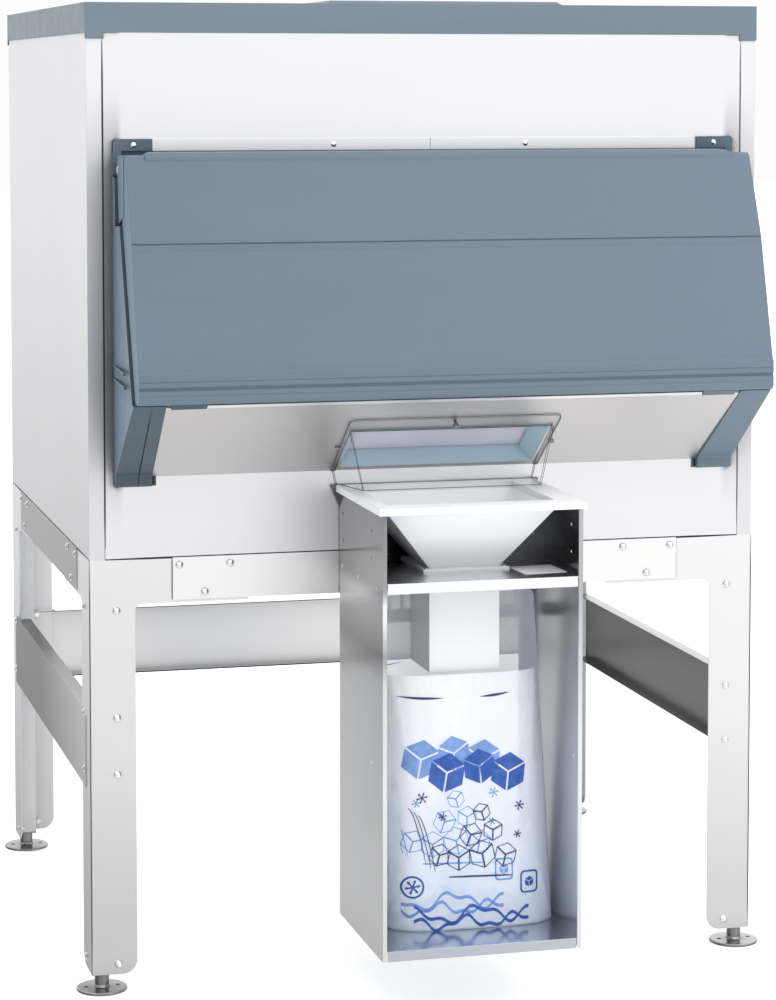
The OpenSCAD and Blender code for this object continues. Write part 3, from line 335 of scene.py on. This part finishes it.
# stand_steel: faces that look sideways are painted darker, as painted shade.
stand_steel = steel("stand_steel", (0.97, 0.965, 0.96, 1), rough=0.36, tint=0.015, corner_shade=(0.07, 0.5),
                    brush=0.015, flank_lighting=0.47)
# rail_left_steel: deep painted shade from the parts around it, faces that look left painted darker, and the
# rail painted lighter to the front and darker to the rear: painted light and shade.
rail_left_steel = steel("rail_left_steel", (0.80, 0.79, 0.78, 1), rough=0.32, corner_shade=(0.5, 0.9), brush=0.015,
                        flank_lighting=0.62, left_only=True, light_fade=("Y", -0.35, 0.25, 1.5, 0.42))
# rail_right_steel: deep painted shade from the parts around it, and its faces that look left, inside the
# stand, painted much darker as shade.
rail_right_steel = steel("rail_right_steel", (0.80, 0.785, 0.77, 1), rough=0.32, corner_shade=(0.5, 0.9),
                         brush=0.015, flank_lighting=0.32, left_only=True)
# leg_steel: painted darker from 0.42 down to 0.10, as painted shade.
leg_steel = steel("leg_steel", (0.88, 0.88, 0.89, 1), rough=0.28, grain="z", tint=0.015, corner_shade=(0.06, 0.5),
                  brush=0.004, light_fade=("Z", 0.10, 0.42, 0.85, 1.0))
tube_steel = steel("tube_steel", (0.84, 0.85, 0.87, 1), rough=0.28, grain="z", corner_shade=(0.1, 0.5), brush=0.01)
# cabinet_steel: sideways faces painted darker, the lower part painted lighter, and painted reflections in
# level stripes up the bagging cabinet's side.
cabinet_steel = steel("cabinet_steel", (0.92, 0.93, 0.95, 1), rough=0.18, grain="z", corner_shade=(0.22, 0.5),
                      brush=0.01, flank_lighting=0.78, light_fade=("Z", 0.08, 0.46, 1.5, 1.0),
                      reflection_bands=((0.46, 1.0), (0.58, 0.85), (0.63, 0.45), (0.69, 1.0), (0.715, 1.0),
                             (0.74, 0.42), (0.93, 0.22)))
# inner_steel: painted darker from 0.45 up to 0.74, as painted shade.
inner_steel = steel("inner_steel", (0.94, 0.96, 1.0, 1), rough=0.22, grain="z", corner_shade=(0.12, 0.35),
                    brush=0.01, light_fade=("Z", 0.45, 0.74, 1.02, 0.52))
# tray_steel: darker and bluish, a painted blue reflection on the lower shelf's steel.
tray_steel = steel("tray_steel", (0.68, 0.72, 0.79, 1), rough=0.2, corner_shade=(0.10, 0.5))
shelf_steel = steel("shelf_steel", (0.99, 0.99, 1.0, 1), rough=0.26, corner_shade=(0.05, 0.3))
zinc = steel("zinc", (0.97, 0.97, 0.98, 1), rough=0.16, grain="z", tint=0.10, edge=0.0004, corner_shade=(0.006, 0.8))
foot_metal = steel("foot_metal", (0.42, 0.42, 0.43, 1), rough=0.24, tint=0.2)
knob = steel("knob", (0.30, 0.30, 0.32, 1), rough=0.2, grain="z", tint=0.1, edge=0.0004, corner_shade=(0.006, 0.5))

# Blue mouldings: the door and surround are painted lighter on faces that look sideways and towards the bin's
# right end, as painted light; the surround's base is darker than the door's, painted shade on its front
# faces.
blue = moulding("blue_moulding", srgb(94, 110, 124), corner_shade=(0.02, 0.6), flank_lighting=srgb(108, 130, 148),
                right=srgb(101, 116, 131))
blue_frame = moulding("blue_frame", srgb(66, 80, 90), corner_shade=(0.04, 0.5), flank_lighting=srgb(110, 129, 145),
                      right=srgb(98, 115, 129))
blue_plate = moulding("blue_plate", srgb(84, 102, 114))
blue_deck = moulding("blue_deck", srgb(104, 119, 131))
blue_lining = moulding("blue_lining", srgb(176, 202, 217), corner_shade=(0.01, 0.2))
gate_grey = moulding("gate_grey", srgb(218, 214, 226), corner_shade=(0.01, 0.2))
# white_moulding: faces that look up are painted white, as painted light.
white = moulding("white_moulding", srgb(235, 237, 241), rough=0.35, streak=0.01, corner_shade=(0.06, 0.25),
                 painted_top_light=WHITE)
liner_white = moulding("liner_white", srgb(232, 234, 236), rough=0.4, streak=0.02)
foam = moulding("foam", srgb(228, 214, 170), rough=0.85, streak=0.08, grain=0.5, edge=0)
rubber = moulding("rubber", srgb(34, 34, 36), rough=0.6, streak=0.1, grain=0.2, edge=0.0005)
card = moulding("card", srgb(240, 240, 240), rough=0.6, streak=0.01, grain=0.1, edge=0)
clear = clear_plate("clear_plate")

dress = {
    front_steel: ["front_panel", "header_strip"],
    side_steel: ["side_panel_left", "side_panel_right", "rear_panel"],
    slope_steel: ["slope_panel"],
    stand_steel: ["base_pan", "splice_front", "splice_rear", "splice_left", "splice_right", "mid_rail_rear"],
    rail_left_steel: ["mid_rail_left"],
    rail_right_steel: ["mid_rail_right"],
    leg_steel: ["leg_front_left", "leg_front_right", "leg_rear_left", "leg_rear_right"],
    tube_steel: ["leg_tubes"],
    cabinet_steel: ["bagger_side_left", "bagger_hanger"],
    inner_steel: ["bagger_side_right"],
    tray_steel: ["lower_shelf"],
    shelf_steel: ["upper_shelf"],
    zinc: ["surround_screws", "hinge_pins", "stand_bolts", "stand_nuts", "bagger_screws",
           "hopper_screws", "bag_wicket"],
    foot_metal: ["foot_sockets", "foot_front_left", "foot_front_right", "foot_rear_left", "foot_rear_right"],
    blue: ["door_outer"],
    blue_frame: ["surround"],
    blue_plate: ["hinge_bracket_left", "hinge_bracket_right"],
    blue_deck: ["top_deck"],
    blue_lining: ["outlet_sleeve"],
    gate_grey: ["outlet_gate"],
    white: ["hopper", "bag_bracket", "gate_guides", "drain_fitting"],
    liner_white: ["liner", "ceiling", "door_inner"],
    foam: ["insulation", "deck_insulation", "door_insulation"],
    rubber: ["door_gasket"],
    card: ["note_card"],
    knob: ["guard_thumbscrews"],
    clear: ["ice_guard"],
}
for mat, names in dress.items():
    for name in names:
        mesh = nodes[name].data
        mesh.materials.clear()
        mesh.materials.append(mat)


def place(name, mesh, mat):
    """Puts a mesh in the scene as a piece that rides on the bin."""
    mesh.materials.append(mat)
    piece = bpy.data.objects.new(name, mesh)
    bpy.context.scene.collection.objects.link(piece)
    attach(piece, "bin")
    return piece


def place_built(name, bm, mat):
    """Does the same with a built mesh, which is freed."""
    mesh = bpy.data.meshes.new(name)
    bm.to_mesh(mesh)
    bm.free()
    place(name, mesh, mat)


# Film bag: its outline is a rounded rectangle with a low rim in front

FRONT_Y = -0.37725
BAG_X = 0.009
BAG_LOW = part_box("ice_bag")[0].z
RIM_FRONT_Z = 0.574
RIM_REAR_Z = 0.700
RIM_DIP = 0.45
MIDDLE_X = BAG_X + 0.018
MIDDLE_OUT = 0.137
HALF_WIDTH = 0.1518
HALF_DEPTH = 0.0798
LEAN_X = 0.020
LEAN_IN = 0.004
NARROWING = 0.009
FLATTENING = 0.004
BELLY = 0.002
BELLY_TURN = 540
FOLD = 0.012
FOLDS = 7
SQUARE_X = 0.42
SQUARE_Y = 0.75
BOTTOM_LIFT = 0.0008
BOTTOM_WAVE = 0.0012

# Creases of the film: start x, z and end x, z on the front, half width, height
CREASES = [
    (-0.135, 0.150, -0.020, 0.215, 0.006, 0.0022),
    (-0.130, 0.145, -0.060, 0.260, 0.005, 0.0018),
    (-0.100, 0.140, 0.060, 0.180, 0.006, 0.0020),
    (0.165, 0.150, 0.120, 0.300, 0.006, 0.0018),
    (0.160, 0.145, 0.060, 0.200, 0.005, 0.0020),
    (-0.120, 0.560, -0.090, 0.400, 0.007, 0.0016),
    (0.140, 0.560, 0.120, 0.360, 0.007, 0.0016),
    (-0.060, 0.520, 0.080, 0.490, 0.008, 0.0014),
]
RIPPLE = 0.0009
REAR_CREASE = 0.6
REAR_SHIFT_X = 0.03
REAR_SHIFT_Z = 0.02
SIDE_CALM = 2.5


def power(v, p):
    """A power that keeps the sign."""
    return math.copysign(abs(v) ** p, v)


def within(v, lo, hi):
    return min(hi, max(lo, v))


def middle_x(t):
    return MIDDLE_X - LEAN_X * t


def half_width(t, g):
    return (HALF_WIDTH - NARROWING * t) * fold(t, g)


def fold(t, g):
    """How far the upright folds widen the outline."""
    return 1 + FOLD * math.sin(FOLDS * g) * math.sin(math.pi * t)


def bag_point(t, g):
    """A point of the smooth bag: t from 0 at its bottom to 1 at its rim, g the angle round it."""
    half_depth = (HALF_DEPTH - FLATTENING * t + BELLY * math.sin(math.radians(BELLY_TURN * t))) * fold(t, g)
    out = MIDDLE_OUT - LEAN_IN * t + half_depth * power(math.sin(g), SQUARE_Y)
    rise = within((RIM_DIP - math.sin(g)) / RIM_DIP, 0, 1)
    rise = rise * rise * (3 - 2 * rise)
    rim = RIM_FRONT_Z + (RIM_REAR_Z - RIM_FRONT_Z) * rise
    return Vector((middle_x(t) + half_width(t, g) * power(math.cos(g), SQUARE_X),
                   FRONT_Y - out,
                   BAG_LOW + t * (rim - BAG_LOW)))


def crease(x, z):
    """How far the film stands out at x, z."""
    total = RIPPLE * math.sin(61 * x + 23 * z) * math.sin(17 * z - 9 * x)
    for x0, z0, x1, z1, wide, high in CREASES:
        dx = x1 - x0
        dz = z1 - z0
        along = within(((x - x0) * dx + (z - z0) * dz) / (dx * dx + dz * dz), 0, 1)
        off = math.hypot(x - x0 - along * dx, z - z0 - along * dz)
        total += high * math.exp(-(off / wide) ** 2) * (1 - 0.5 * along)
    return total


def film_point(t, g):
    """A point of the creased film: weaker mirrored creases at the rear, none at the sides."""
    p = bag_point(t, g)
    side = math.sin(g)
    push = crease(p.x, p.z) if side > 0 else REAR_CREASE * crease(REAR_SHIFT_X - p.x, p.z + REAR_SHIFT_Z)
    p.y -= math.copysign(push * min(1, abs(side) * SIDE_CALM), side)
    return p


def round_bag(s):
    """The angle round the bag for s from 0 to 1, so spaced that no facet is wide."""
    g = math.acos(power(math.cos(2 * math.pi * s), 1 / SQUARE_X))
    return g if s <= 0.5 else 2 * math.pi - g


def film_bag(around=192, up=96):
    """The film's walls, and its bottom, which lies on the shelf in shallow waves."""
    turns = [round_bag(k / around) for k in range(around)]
    verts = [film_point(i / up, g) for i in range(up + 1) for g in turns]
    faces = []
    for i in range(up):
        for k in range(around):
            m = (k + 1) % around
            faces.append((i * around + k, i * around + m, (i + 1) * around + m, (i + 1) * around + k))
    base = len(verts)
    centre = Vector((MIDDLE_X, FRONT_Y - MIDDLE_OUT, BAG_LOW))
    for ring in (0.75, 0.45, 0.15):
        for g in turns:
            p = centre + (film_point(0, g) - centre) * ring
            p.z = BAG_LOW + BOTTOM_LIFT + BOTTOM_WAVE * (1 - ring) * math.sin(360 * p.x)
            verts.append(p)
    rows = [0, base, base + around, base + 2 * around]
    for outer, inner in zip(rows, rows[1:]):
        for k in range(around):
            m = (k + 1) % around
            faces.append((outer + m, outer + k, inner + k, inner + m))
    faces.append(tuple(rows[-1] + k for k in reversed(range(around))))
    mesh = bpy.data.meshes.new("film_bag")
    mesh.from_pydata([tuple(v) for v in verts], [], faces)
    mesh.update()
    for poly in mesh.polygons:
        poly.use_smooth = True
    return mesh


film = film_shader("film", srgb(216, 228, 250), srgb(232, 240, 253), srgb(240, 243, 250), 0.74)
bag = place("film_bag", film_bag(), film)
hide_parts("ice_bag")

# Print on the bag: flat shapes of (x, z) points, laid on the film

PRINT_LIFT = 0.0005
SOLID_LIFT = 0.0009
LINE_LIFT = 0.0012
PRINT_GRID = 0.006
PRINT_HALF = 0.13
SHADOW_LEFT = -0.1075
SIXTH = math.pi / 3

ink = ink_shader("ink", srgb(16, 74, 156), 0.95)
ink_dark = ink_shader("ink_dark", srgb(20, 34, 92), 0.95)
ink_pale = ink_shader("ink_pale", srgb(96, 140, 208), 0.7)


def on_film(x, z, rear, lift):
    """The film's point at x, z, raised off it by lift."""
    t = (z - BAG_LOW) / ((RIM_REAR_Z if rear else RIM_FRONT_Z) - BAG_LOW)
    g = math.pi / 2
    for _ in range(3):
        g = math.acos(within(power((x - middle_x(t)) / half_width(t, g), 1 / SQUARE_X), -1, 1))
        g = -g if rear else g
    p = film_point(t, g)
    p.y -= lift
    return p


def print_on(name, shapes, mat, rear=False, lift=PRINT_LIFT):
    """Lays shapes on the film as one thin piece, cut fine enough to follow it."""
    bm = bmesh.new()
    for shape in shapes:
        bm.faces.new([bm.verts.new((x, 0, z)) for x, z in shape])
    bmesh.ops.triangulate(bm, faces=bm.faces[:])
    for _ in range(5):
        long = [e for e in bm.edges if e.calc_length() > PRINT_GRID]
        if not long:
            break
        bmesh.ops.subdivide_edges(bm, edges=long, cuts=1)
        bmesh.ops.triangulate(bm, faces=bm.faces[:])
    for v in bm.verts:
        v.co = on_film(v.co.x, v.co.z, rear, lift)
    place_built(name, bm, mat)


def stroke(points, width):
    """A line of quads through points, thinner towards its ends."""
    last = len(points) - 1
    edges = []
    for i, (x, z) in enumerate(points):
        x0, z0 = points[max(0, i - 1)]
        x1, z1 = points[min(last, i + 1)]
        long = math.hypot(x1 - x0, z1 - z0)
        half = width / 2 * (0.35 + 0.65 * math.sin(math.pi * (i + 0.5) / (last + 1)) ** 0.5)
        nx = -(z1 - z0) / long * half
        nz = (x1 - x0) / long * half
        edges.append(((x + nx, z + nz), (x - nx, z - nz)))
    return [[a, b, d, c] for (a, b), (c, d) in zip(edges, edges[1:])]


def outline(points, width):
    """A closed line of quads round points, of even width."""
    quads = []
    for (x0, z0), (x1, z1) in zip(points, points[1:] + points[:1]):
        long = math.hypot(x1 - x0, z1 - z0)
        ex = (x1 - x0) / long * width / 2
        ez = (z1 - z0) / long * width / 2
        quads.append([(x0 - ex - ez, z0 - ez + ex), (x0 - ex + ez, z0 - ez - ex),
                      (x1 + ex + ez, z1 + ez - ex), (x1 + ex - ez, z1 + ez + ex)])
    return quads


def block_faces(x, z, r, turn=0.0):
    """The three faces of a block seen from its corner: top, left and right."""
    ring = [(x + r * math.sin(turn + k * SIXTH), z + r * math.cos(turn + k * SIXTH)) for k in range(6)]
    c = (x, z)
    return [[ring[0], ring[1], c, ring[5]], [ring[5], c, ring[3], ring[4]], [c, ring[1], ring[2], ring[3]]]


def shrink(face, k):
    mx = sum(x for x, z in face) / len(face)
    mz = sum(z for x, z in face) / len(face)
    return [(mx + (x - mx) * k, mz + (z - mz) * k) for x, z in face]


def halved(a, b):
    return [a, ((a[0] + b[0]) / 2, (a[1] + b[1]) / 2), b]


def flake(x, z, r, width):
    """A snow flake: six arms with two twigs each."""
    lines = []
    for k in range(6):
        a = k * SIXTH + 0.2
        lines += stroke(halved((x, z), (x + r * math.cos(a), z + r * math.sin(a))), width)
        fork = (x + 0.6 * r * math.cos(a), z + 0.6 * r * math.sin(a))
        for side in (-0.5, 0.5):
            end = (fork[0] + 0.3 * r * math.cos(a + side), fork[1] + 0.3 * r * math.sin(a + side))
            lines += stroke(halved(fork, end), width * 0.7)
    return lines


# Blocks as x, z, radius and turn; flakes as x, z and radius; waves as z, height, closeness and phase
LARGE_BLOCKS = ((-0.026, 0.404, 0.037, 0.16), (0.032, 0.412, 0.033, -0.12), (0.084, 0.400, 0.036, 0.1))
SMALL_BLOCKS = ((-0.040, 0.262, 0.020, 0.3), (-0.006, 0.256, 0.023, 0.0), (0.036, 0.260, 0.025, -0.2),
                (0.078, 0.256, 0.021, 0.25), (0.016, 0.294, 0.021, 0.4), (0.056, 0.300, 0.019, 0.05),
                (0.036, 0.332, 0.016, -0.3))
FLAKES = ((-0.070, 0.362, 0.010), (0.104, 0.340, 0.009), (-0.034, 0.328, 0.008), (0.100, 0.290, 0.007))
WAVES = ((0.160, 0.012, 55, 0.0), (0.146, 0.009, 70, 1.2))
WAVE_LEFT = -0.085
WAVE_LONG = 0.205
WAVE_BAND = 0.006
ROUND_MARK = (-0.087, 0.208, 0.018)
UPRIGHT_MARK = (0.121, 0.206)


def artwork(dx=0.0, dz=0.0):
    """The print's solid and dark shapes, moved by dx, dz."""
    solid, dark = [], []
    for x, z, r, turn in LARGE_BLOCKS:
        solid += [shrink(f, 0.9) for f in block_faces(x + dx, z + dz, r, turn)]
    for x, z, r, turn in SMALL_BLOCKS:
        dark += [q for f in block_faces(x + dx, z + dz, r, turn) for q in outline(shrink(f, 0.94), 0.0014)]
    for x, z, r in FLAKES:
        dark += flake(x + dx, z + dz, r, 0.0018)
    # three sweeping lines at the left of the small blocks
    for k in range(3):
        sweep = [(-0.094 + 0.008 * k + 0.030 * i / 9 + dx,
                  0.345 - 0.006 * k - 0.098 * (i / 9) ** 1.6 + dz) for i in range(10)]
        dark += stroke(sweep, 0.0016)
    for base, high, wave, phase in WAVES:
        xs = [WAVE_LEFT + WAVE_LONG * i / 40 for i in range(41)]
        band = []
        for x in xs:
            swell = math.sin(wave * x + phase) + 0.5 * math.sin(2.3 * wave * x)
            band.append((x + dx, base + high * swell + dz))
        for (xa, za), (xb, zb) in zip(band, band[1:]):
            solid.append([(xa, za), (xb, zb), (xb, zb - WAVE_BAND), (xa, za - WAVE_BAND)])
    # a ruled line between the two marks
    rule = [(-0.024 + 0.112 * i / 12 + dx, 0.2235 - 0.0035 * i / 12 + dz) for i in range(13)]
    dark += stroke(rule, 0.0032)
    # the round mark with a flake
    x, z, r = ROUND_MARK
    x += dx
    z += dz
    solid += outline([(x + r * math.cos(a * math.pi / 12), z + r * math.sin(a * math.pi / 12))
                      for a in range(24)], 0.0032)
    solid += flake(x, z, 0.013, 0.0030)
    # the upright mark with a block
    x, z = UPRIGHT_MARK
    x += dx
    z += dz
    corners = []
    for sx, sz, start in ((1, 1, 0), (-1, 1, 90), (-1, -1, 180), (1, -1, 270)):
        for step in (0, 30, 60, 90):
            turn = math.radians(start + step)
            corners.append((x + 0.009 * sx + 0.006 * math.cos(turn), z + 0.012 * sz + 0.006 * math.sin(turn)))
    solid += outline(corners, 0.0030)
    solid += [shrink(f, 0.85) for f in block_faces(x, z, 0.010)]
    return solid, dark


def slit(x0, z0, x1, z1, gape, steps=14):
    """A cut in the film that gapes a little in the middle, drawn as a dark mark: painted shade in the
    opening.
    """
    shape = []
    for i in range(steps + 1):
        bow = math.sin(math.pi * i / steps)
        x = x0 + (x1 - x0) * i / steps
        z = z0 + (z1 - z0) * i / steps - 0.0012 * bow
        half = gape * bow / 2 + 0.0001
        shape.append(((x, z + half), (x, z - half)))
    return [[a, b, d, c] for (a, b), (c, d) in zip(shape, shape[1:])]


# A paler copy beside the print, as the rear wall's print shows through the film
solid, dark = artwork(-0.046, 0.025)
print_on("bag_print_shadow", [s for s in solid + dark if min(x for x, z in s) > SHADOW_LEFT], ink_pale)
solid, dark = artwork()
print_on("bag_print", solid, ink, lift=SOLID_LIFT)
print_on("bag_lines", dark, ink_dark, lift=LINE_LIFT)
solid, dark = artwork(-0.009, -0.010)
inside = [s for s in solid + dark if max(abs(x - BAG_X) for x, z in s) < PRINT_HALF]
print_on("bag_print_rear", inside, ink_pale, rear=True)
front_slits = slit(-0.1137, 0.5392, -0.0305, 0.534, 0.0042) + slit(0.0319, 0.534, 0.0857, 0.5393, 0.0042)
rear_slits = slit(-0.120, 0.566, -0.064, 0.570, 0.002) + slit(0.002, 0.571, 0.077, 0.568, 0.002)
print_on("bag_slits", front_slits, ink_dark, lift=LINE_LIFT)
print_on("bag_slits_rear", rear_slits, ink_pale, rear=True)

# Seams: dark lines a little proud of the sheets, painted shadow in the joints between sheets and along the
# legs' corners and the rear rail's edges

SEAM_STEPS = 12
SEAM_PINCH = 0.6
SEAM_PROUD = 0.0003
SEAM_DEEP = 0.001
SIDE_PROUD = 0.0004
SHEET = 0.0015

# Painted shadow: the almost black colour of the seam lines
seam_shadow = moulding("seam_shadow", srgb(30, 30, 33), rough=0.7, streak=0.1, grain=0.1, edge=0)


def seam(name, boxes):
    """Thin ridges given by their lowest and highest corners, with pinched ends."""
    bm = bmesh.new()
    for lo, hi in boxes:
        long = max(range(3), key=lambda k: hi[k] - lo[k])
        across = [k for k in range(3) if k != long]
        rings = []
        for i in range(SEAM_STEPS + 1):
            t = i / SEAM_STEPS
            fat = 1 - SEAM_PINCH * abs(2 * t - 1) ** 12
            ring = []
            for signs in ((-1, -1), (1, -1), (1, 1), (-1, 1)):
                corner = [0, 0, 0]
                corner[long] = lo[long] + t * (hi[long] - lo[long])
                for k, sign in zip(across, signs):
                    corner[k] = (lo[k] + hi[k]) / 2 + sign * (hi[k] - lo[k]) / 2 * fat
                ring.append(bm.verts.new(corner))
            rings.append(ring)
        for a, b in zip(rings, rings[1:]):
            for k in range(4):
                bm.faces.new((a[k], a[(k + 1) % 4], b[(k + 1) % 4], b[k]))
        bm.faces.new(rings[0])
        bm.faces.new(list(reversed(rings[-1])))
    bmesh.ops.recalc_face_normals(bm, faces=bm.faces[:])
    place_built(name, bm, seam_shadow)


def front_line(x0, x1, z0, z1):
    """A line of painted shadow in a joint on the front panel's face."""
    return ((x0, FRONT_Y - SEAM_PROUD, z0), (x1, FRONT_Y + SEAM_DEEP, z1))


def upright_line(x, y, lo_z, hi_z, half=0.0008):
    """A line of painted shade along a leg's corner."""
    return ((x - half, y - half, lo_z), (x + half, y + half, hi_z))


def level_line(lo, hi, z0, z1, half=0.0004):
    """A line of painted shadow along a rear rail's edge, from z0 to z1."""
    return ((lo.x, lo.y - half, z0), (hi.x, lo.y + half, z1))


panel_lo, panel_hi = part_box("front_panel")
splice_lo, splice_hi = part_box("splice_front")
side_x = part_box("base_pan")[1].x
joint_z = panel_lo.z
seam("panel_seam_shadows", [
    front_line(panel_lo.x - 0.0014, panel_lo.x + 0.0014, joint_z, panel_hi.z),
    front_line(panel_hi.x - 0.0010, panel_hi.x + 0.0010, joint_z, panel_hi.z),
    front_line(-side_x, side_x, joint_z - 0.0018, joint_z + 0.0018),
    front_line(splice_lo.x - 0.0016, splice_lo.x - 0.0002, splice_lo.z, splice_hi.z),
    front_line(splice_hi.x + 0.0002, splice_hi.x + 0.0010, splice_lo.z, splice_hi.z),
])
leg_lo, leg_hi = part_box("leg_front_left")
leg_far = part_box("leg_front_right")[1].x
rail_lo, rail_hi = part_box("mid_rail_rear")
seam("stand_shadow_lines", [
    upright_line(leg_lo.x, leg_lo.y, leg_lo.z, leg_hi.z),
    upright_line(leg_far, leg_lo.y, leg_lo.z, leg_hi.z),
    level_line(rail_lo, rail_hi, rail_lo.z, rail_lo.z + 0.0024),
    level_line(rail_lo, rail_hi, rail_hi.z - 0.0016, rail_hi.z),
])
rear_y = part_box("rear_panel")[1].y
end_lo, end_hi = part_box("splice_left")
for name, x in (("side_seam_shadows_left", -side_x - SHEET), ("side_seam_shadows_right", side_x + SHEET)):
    lo_x = x - SIDE_PROUD
    hi_x = x + SIDE_PROUD
    seam(name, [
        ((lo_x, FRONT_Y, joint_z - 0.0014), (hi_x, rear_y, joint_z + 0.0014)),
        ((lo_x, end_lo.y - 0.0022, end_lo.z), (hi_x, end_lo.y - 0.0002, end_hi.z)),
        ((lo_x, end_hi.y + 0.0002, end_lo.z), (hi_x, end_hi.y + 0.0022, end_hi.z)),
    ])

# Edges of the clear guard: grey rods, painted shade along the edges where the clear sheet bends light

EDGE_RADIUS = 0.0005
SHARP = 0.5

guard_edge_shade = moulding("guard_edge_shade", srgb(92, 98, 104), rough=0.3, streak=0.1, grain=0.05, edge=0, spec=0.5)


def edge_lines(name, node, mat):
    """Fine rods along a CAD piece's sharp edges."""
    source = bmesh.new()
    source.from_mesh(nodes[node].data)
    bmesh.ops.remove_doubles(source, verts=source.verts[:], dist=1e-6)
    bm = bmesh.new()
    for e in source.edges:
        if len(e.link_faces) != 2 or e.calc_face_angle(0) < SHARP:
            continue
        a, b = (v.co for v in e.verts)
        way = (b - a).normalized()
        out = way.orthogonal().normalized() * EDGE_RADIUS
        turn = way.cross(out)
        rings = [[bm.verts.new(p + out * math.cos(k * SIXTH) + turn * math.sin(k * SIXTH)) for k in range(6)]
                 for p in (a, b)]
        for k in range(6):
            m = (k + 1) % 6
            bm.faces.new((rings[0][k], rings[0][m], rings[1][m], rings[1][k]))
        bm.faces.new(list(reversed(rings[0])))
        bm.faces.new(rings[1])
    source.free()
    place_built(name, bm, mat)


edge_lines("guard_edges", "ice_guard", guard_edge_shade)

# Floor

FLOOR_HALF = 40
FLOOR_Z = -0.0003

floor_mesh = bpy.data.meshes.new("floor")
corner_signs = ((-1, -1), (1, -1), (1, 1), (-1, 1))
floor_corners = [(sx * FLOOR_HALF, sy * FLOOR_HALF, FLOOR_Z) for sx, sy in corner_signs]
floor_mesh.from_pydata(floor_corners, [], [(0, 1, 2, 3)])
floor = bpy.data.objects.new("floor", floor_mesh)
bpy.context.scene.collection.objects.link(floor)
ground = Shader("ground")
ground.set(Specular_IOR_Level=0.2, Roughness=0.6, Emission_Color=WHITE, Emission_Strength=0.42)
clouds = ground.span(ground.noise(0.7, 2), 0.3, 0.7)
ground.colour(ground.blend(clouds, srgb(246, 246, 246), srgb(250, 250, 250)))
floor_mesh.materials.append(ground.mat)
floor.visible_glossy = False

# Studio: white in front, overhead and behind to the right, grey at the sides

SEEN_STRENGTH = 0.98
AMBIENT = 0.30

world = bpy.context.scene.world or bpy.data.worlds.new("world")
bpy.context.scene.world = world
world.use_nodes = True
tree = world.node_tree


def world_math(operation, *values):
    node = tree.nodes.new("ShaderNodeMath")
    node.operation = operation
    for socket, value in zip(node.inputs, values):
        if isinstance(value, (int, float)):
            socket.default_value = value
        else:
            tree.links.new(value, socket)
    return node.outputs[0]


def lobe(value, lo, hi, gain):
    """Light that swells from 0 at lo to gain at hi."""
    node = tree.nodes.new("ShaderNodeMapRange")
    node.interpolation_type = "SMOOTHSTEP"
    for name, v in (("From Min", lo), ("From Max", hi), ("To Min", 0.0), ("To Max", gain)):
        node.inputs[name].default_value = v
    tree.links.new(value, node.inputs["Value"])
    return node.outputs["Result"]


axes = tree.nodes.new("ShaderNodeSeparateXYZ")
tree.links.new(tree.nodes.new("ShaderNodeTexCoord").outputs["Generated"], axes.inputs[0])
right, rear, up = (axes.outputs[name] for name in "XYZ")
front = world_math("MULTIPLY", rear, -1.0)
front_low = world_math("ADD", lobe(up, -0.31, -0.14, 0.70), 0.30)
rear_low = world_math("ADD", lobe(up, -0.32, 0.02, 0.80), 0.20)
glow = world_math("MULTIPLY", lobe(front, 0.0, 0.85, 0.75), front_low)
for light in (
    world_math("MULTIPLY", lobe(rear, 0.35, 0.95, 0.85), rear_low),
    lobe(right, 0.05, 0.5, 0.30),
    lobe(up, 0.25, 0.9, 0.75),
    lobe(up, -0.36, -0.60, 0.52),
    AMBIENT,
):
    glow = world_math("ADD", glow, light)
strength = tree.nodes.new("ShaderNodeMix")
tree.links.new(tree.nodes.new("ShaderNodeLightPath").outputs["Is Camera Ray"], strength.inputs[0])
tree.links.new(glow, strength.inputs[2])
strength.inputs[3].default_value = SEEN_STRENGTH
sky = tree.nodes["Background"]
sky.inputs["Color"].default_value = WHITE
tree.links.new(strength.outputs[0], sky.inputs["Strength"])


def area_light(name, at, target, size, watts):
    data = bpy.data.lights.new(name, "AREA")
    data.shape = "RECTANGLE"
    data.size, data.size_y = size
    data.energy = watts
    lamp = bpy.data.objects.new(name, data)
    lamp.location = at
    lamp.rotation_euler = (Vector(target) - Vector(at)).to_track_quat("-Z", "Y").to_euler()
    bpy.context.scene.collection.objects.link(lamp)


area_light("key", at=(0.6, -5.0, 3.6), target=(0, 0, 0.9), size=(4.0, 3.0), watts=14)
area_light("top", at=(0, 0.2, 5.0), target=(0, 0, 0), size=(6.0, 6.0), watts=60)
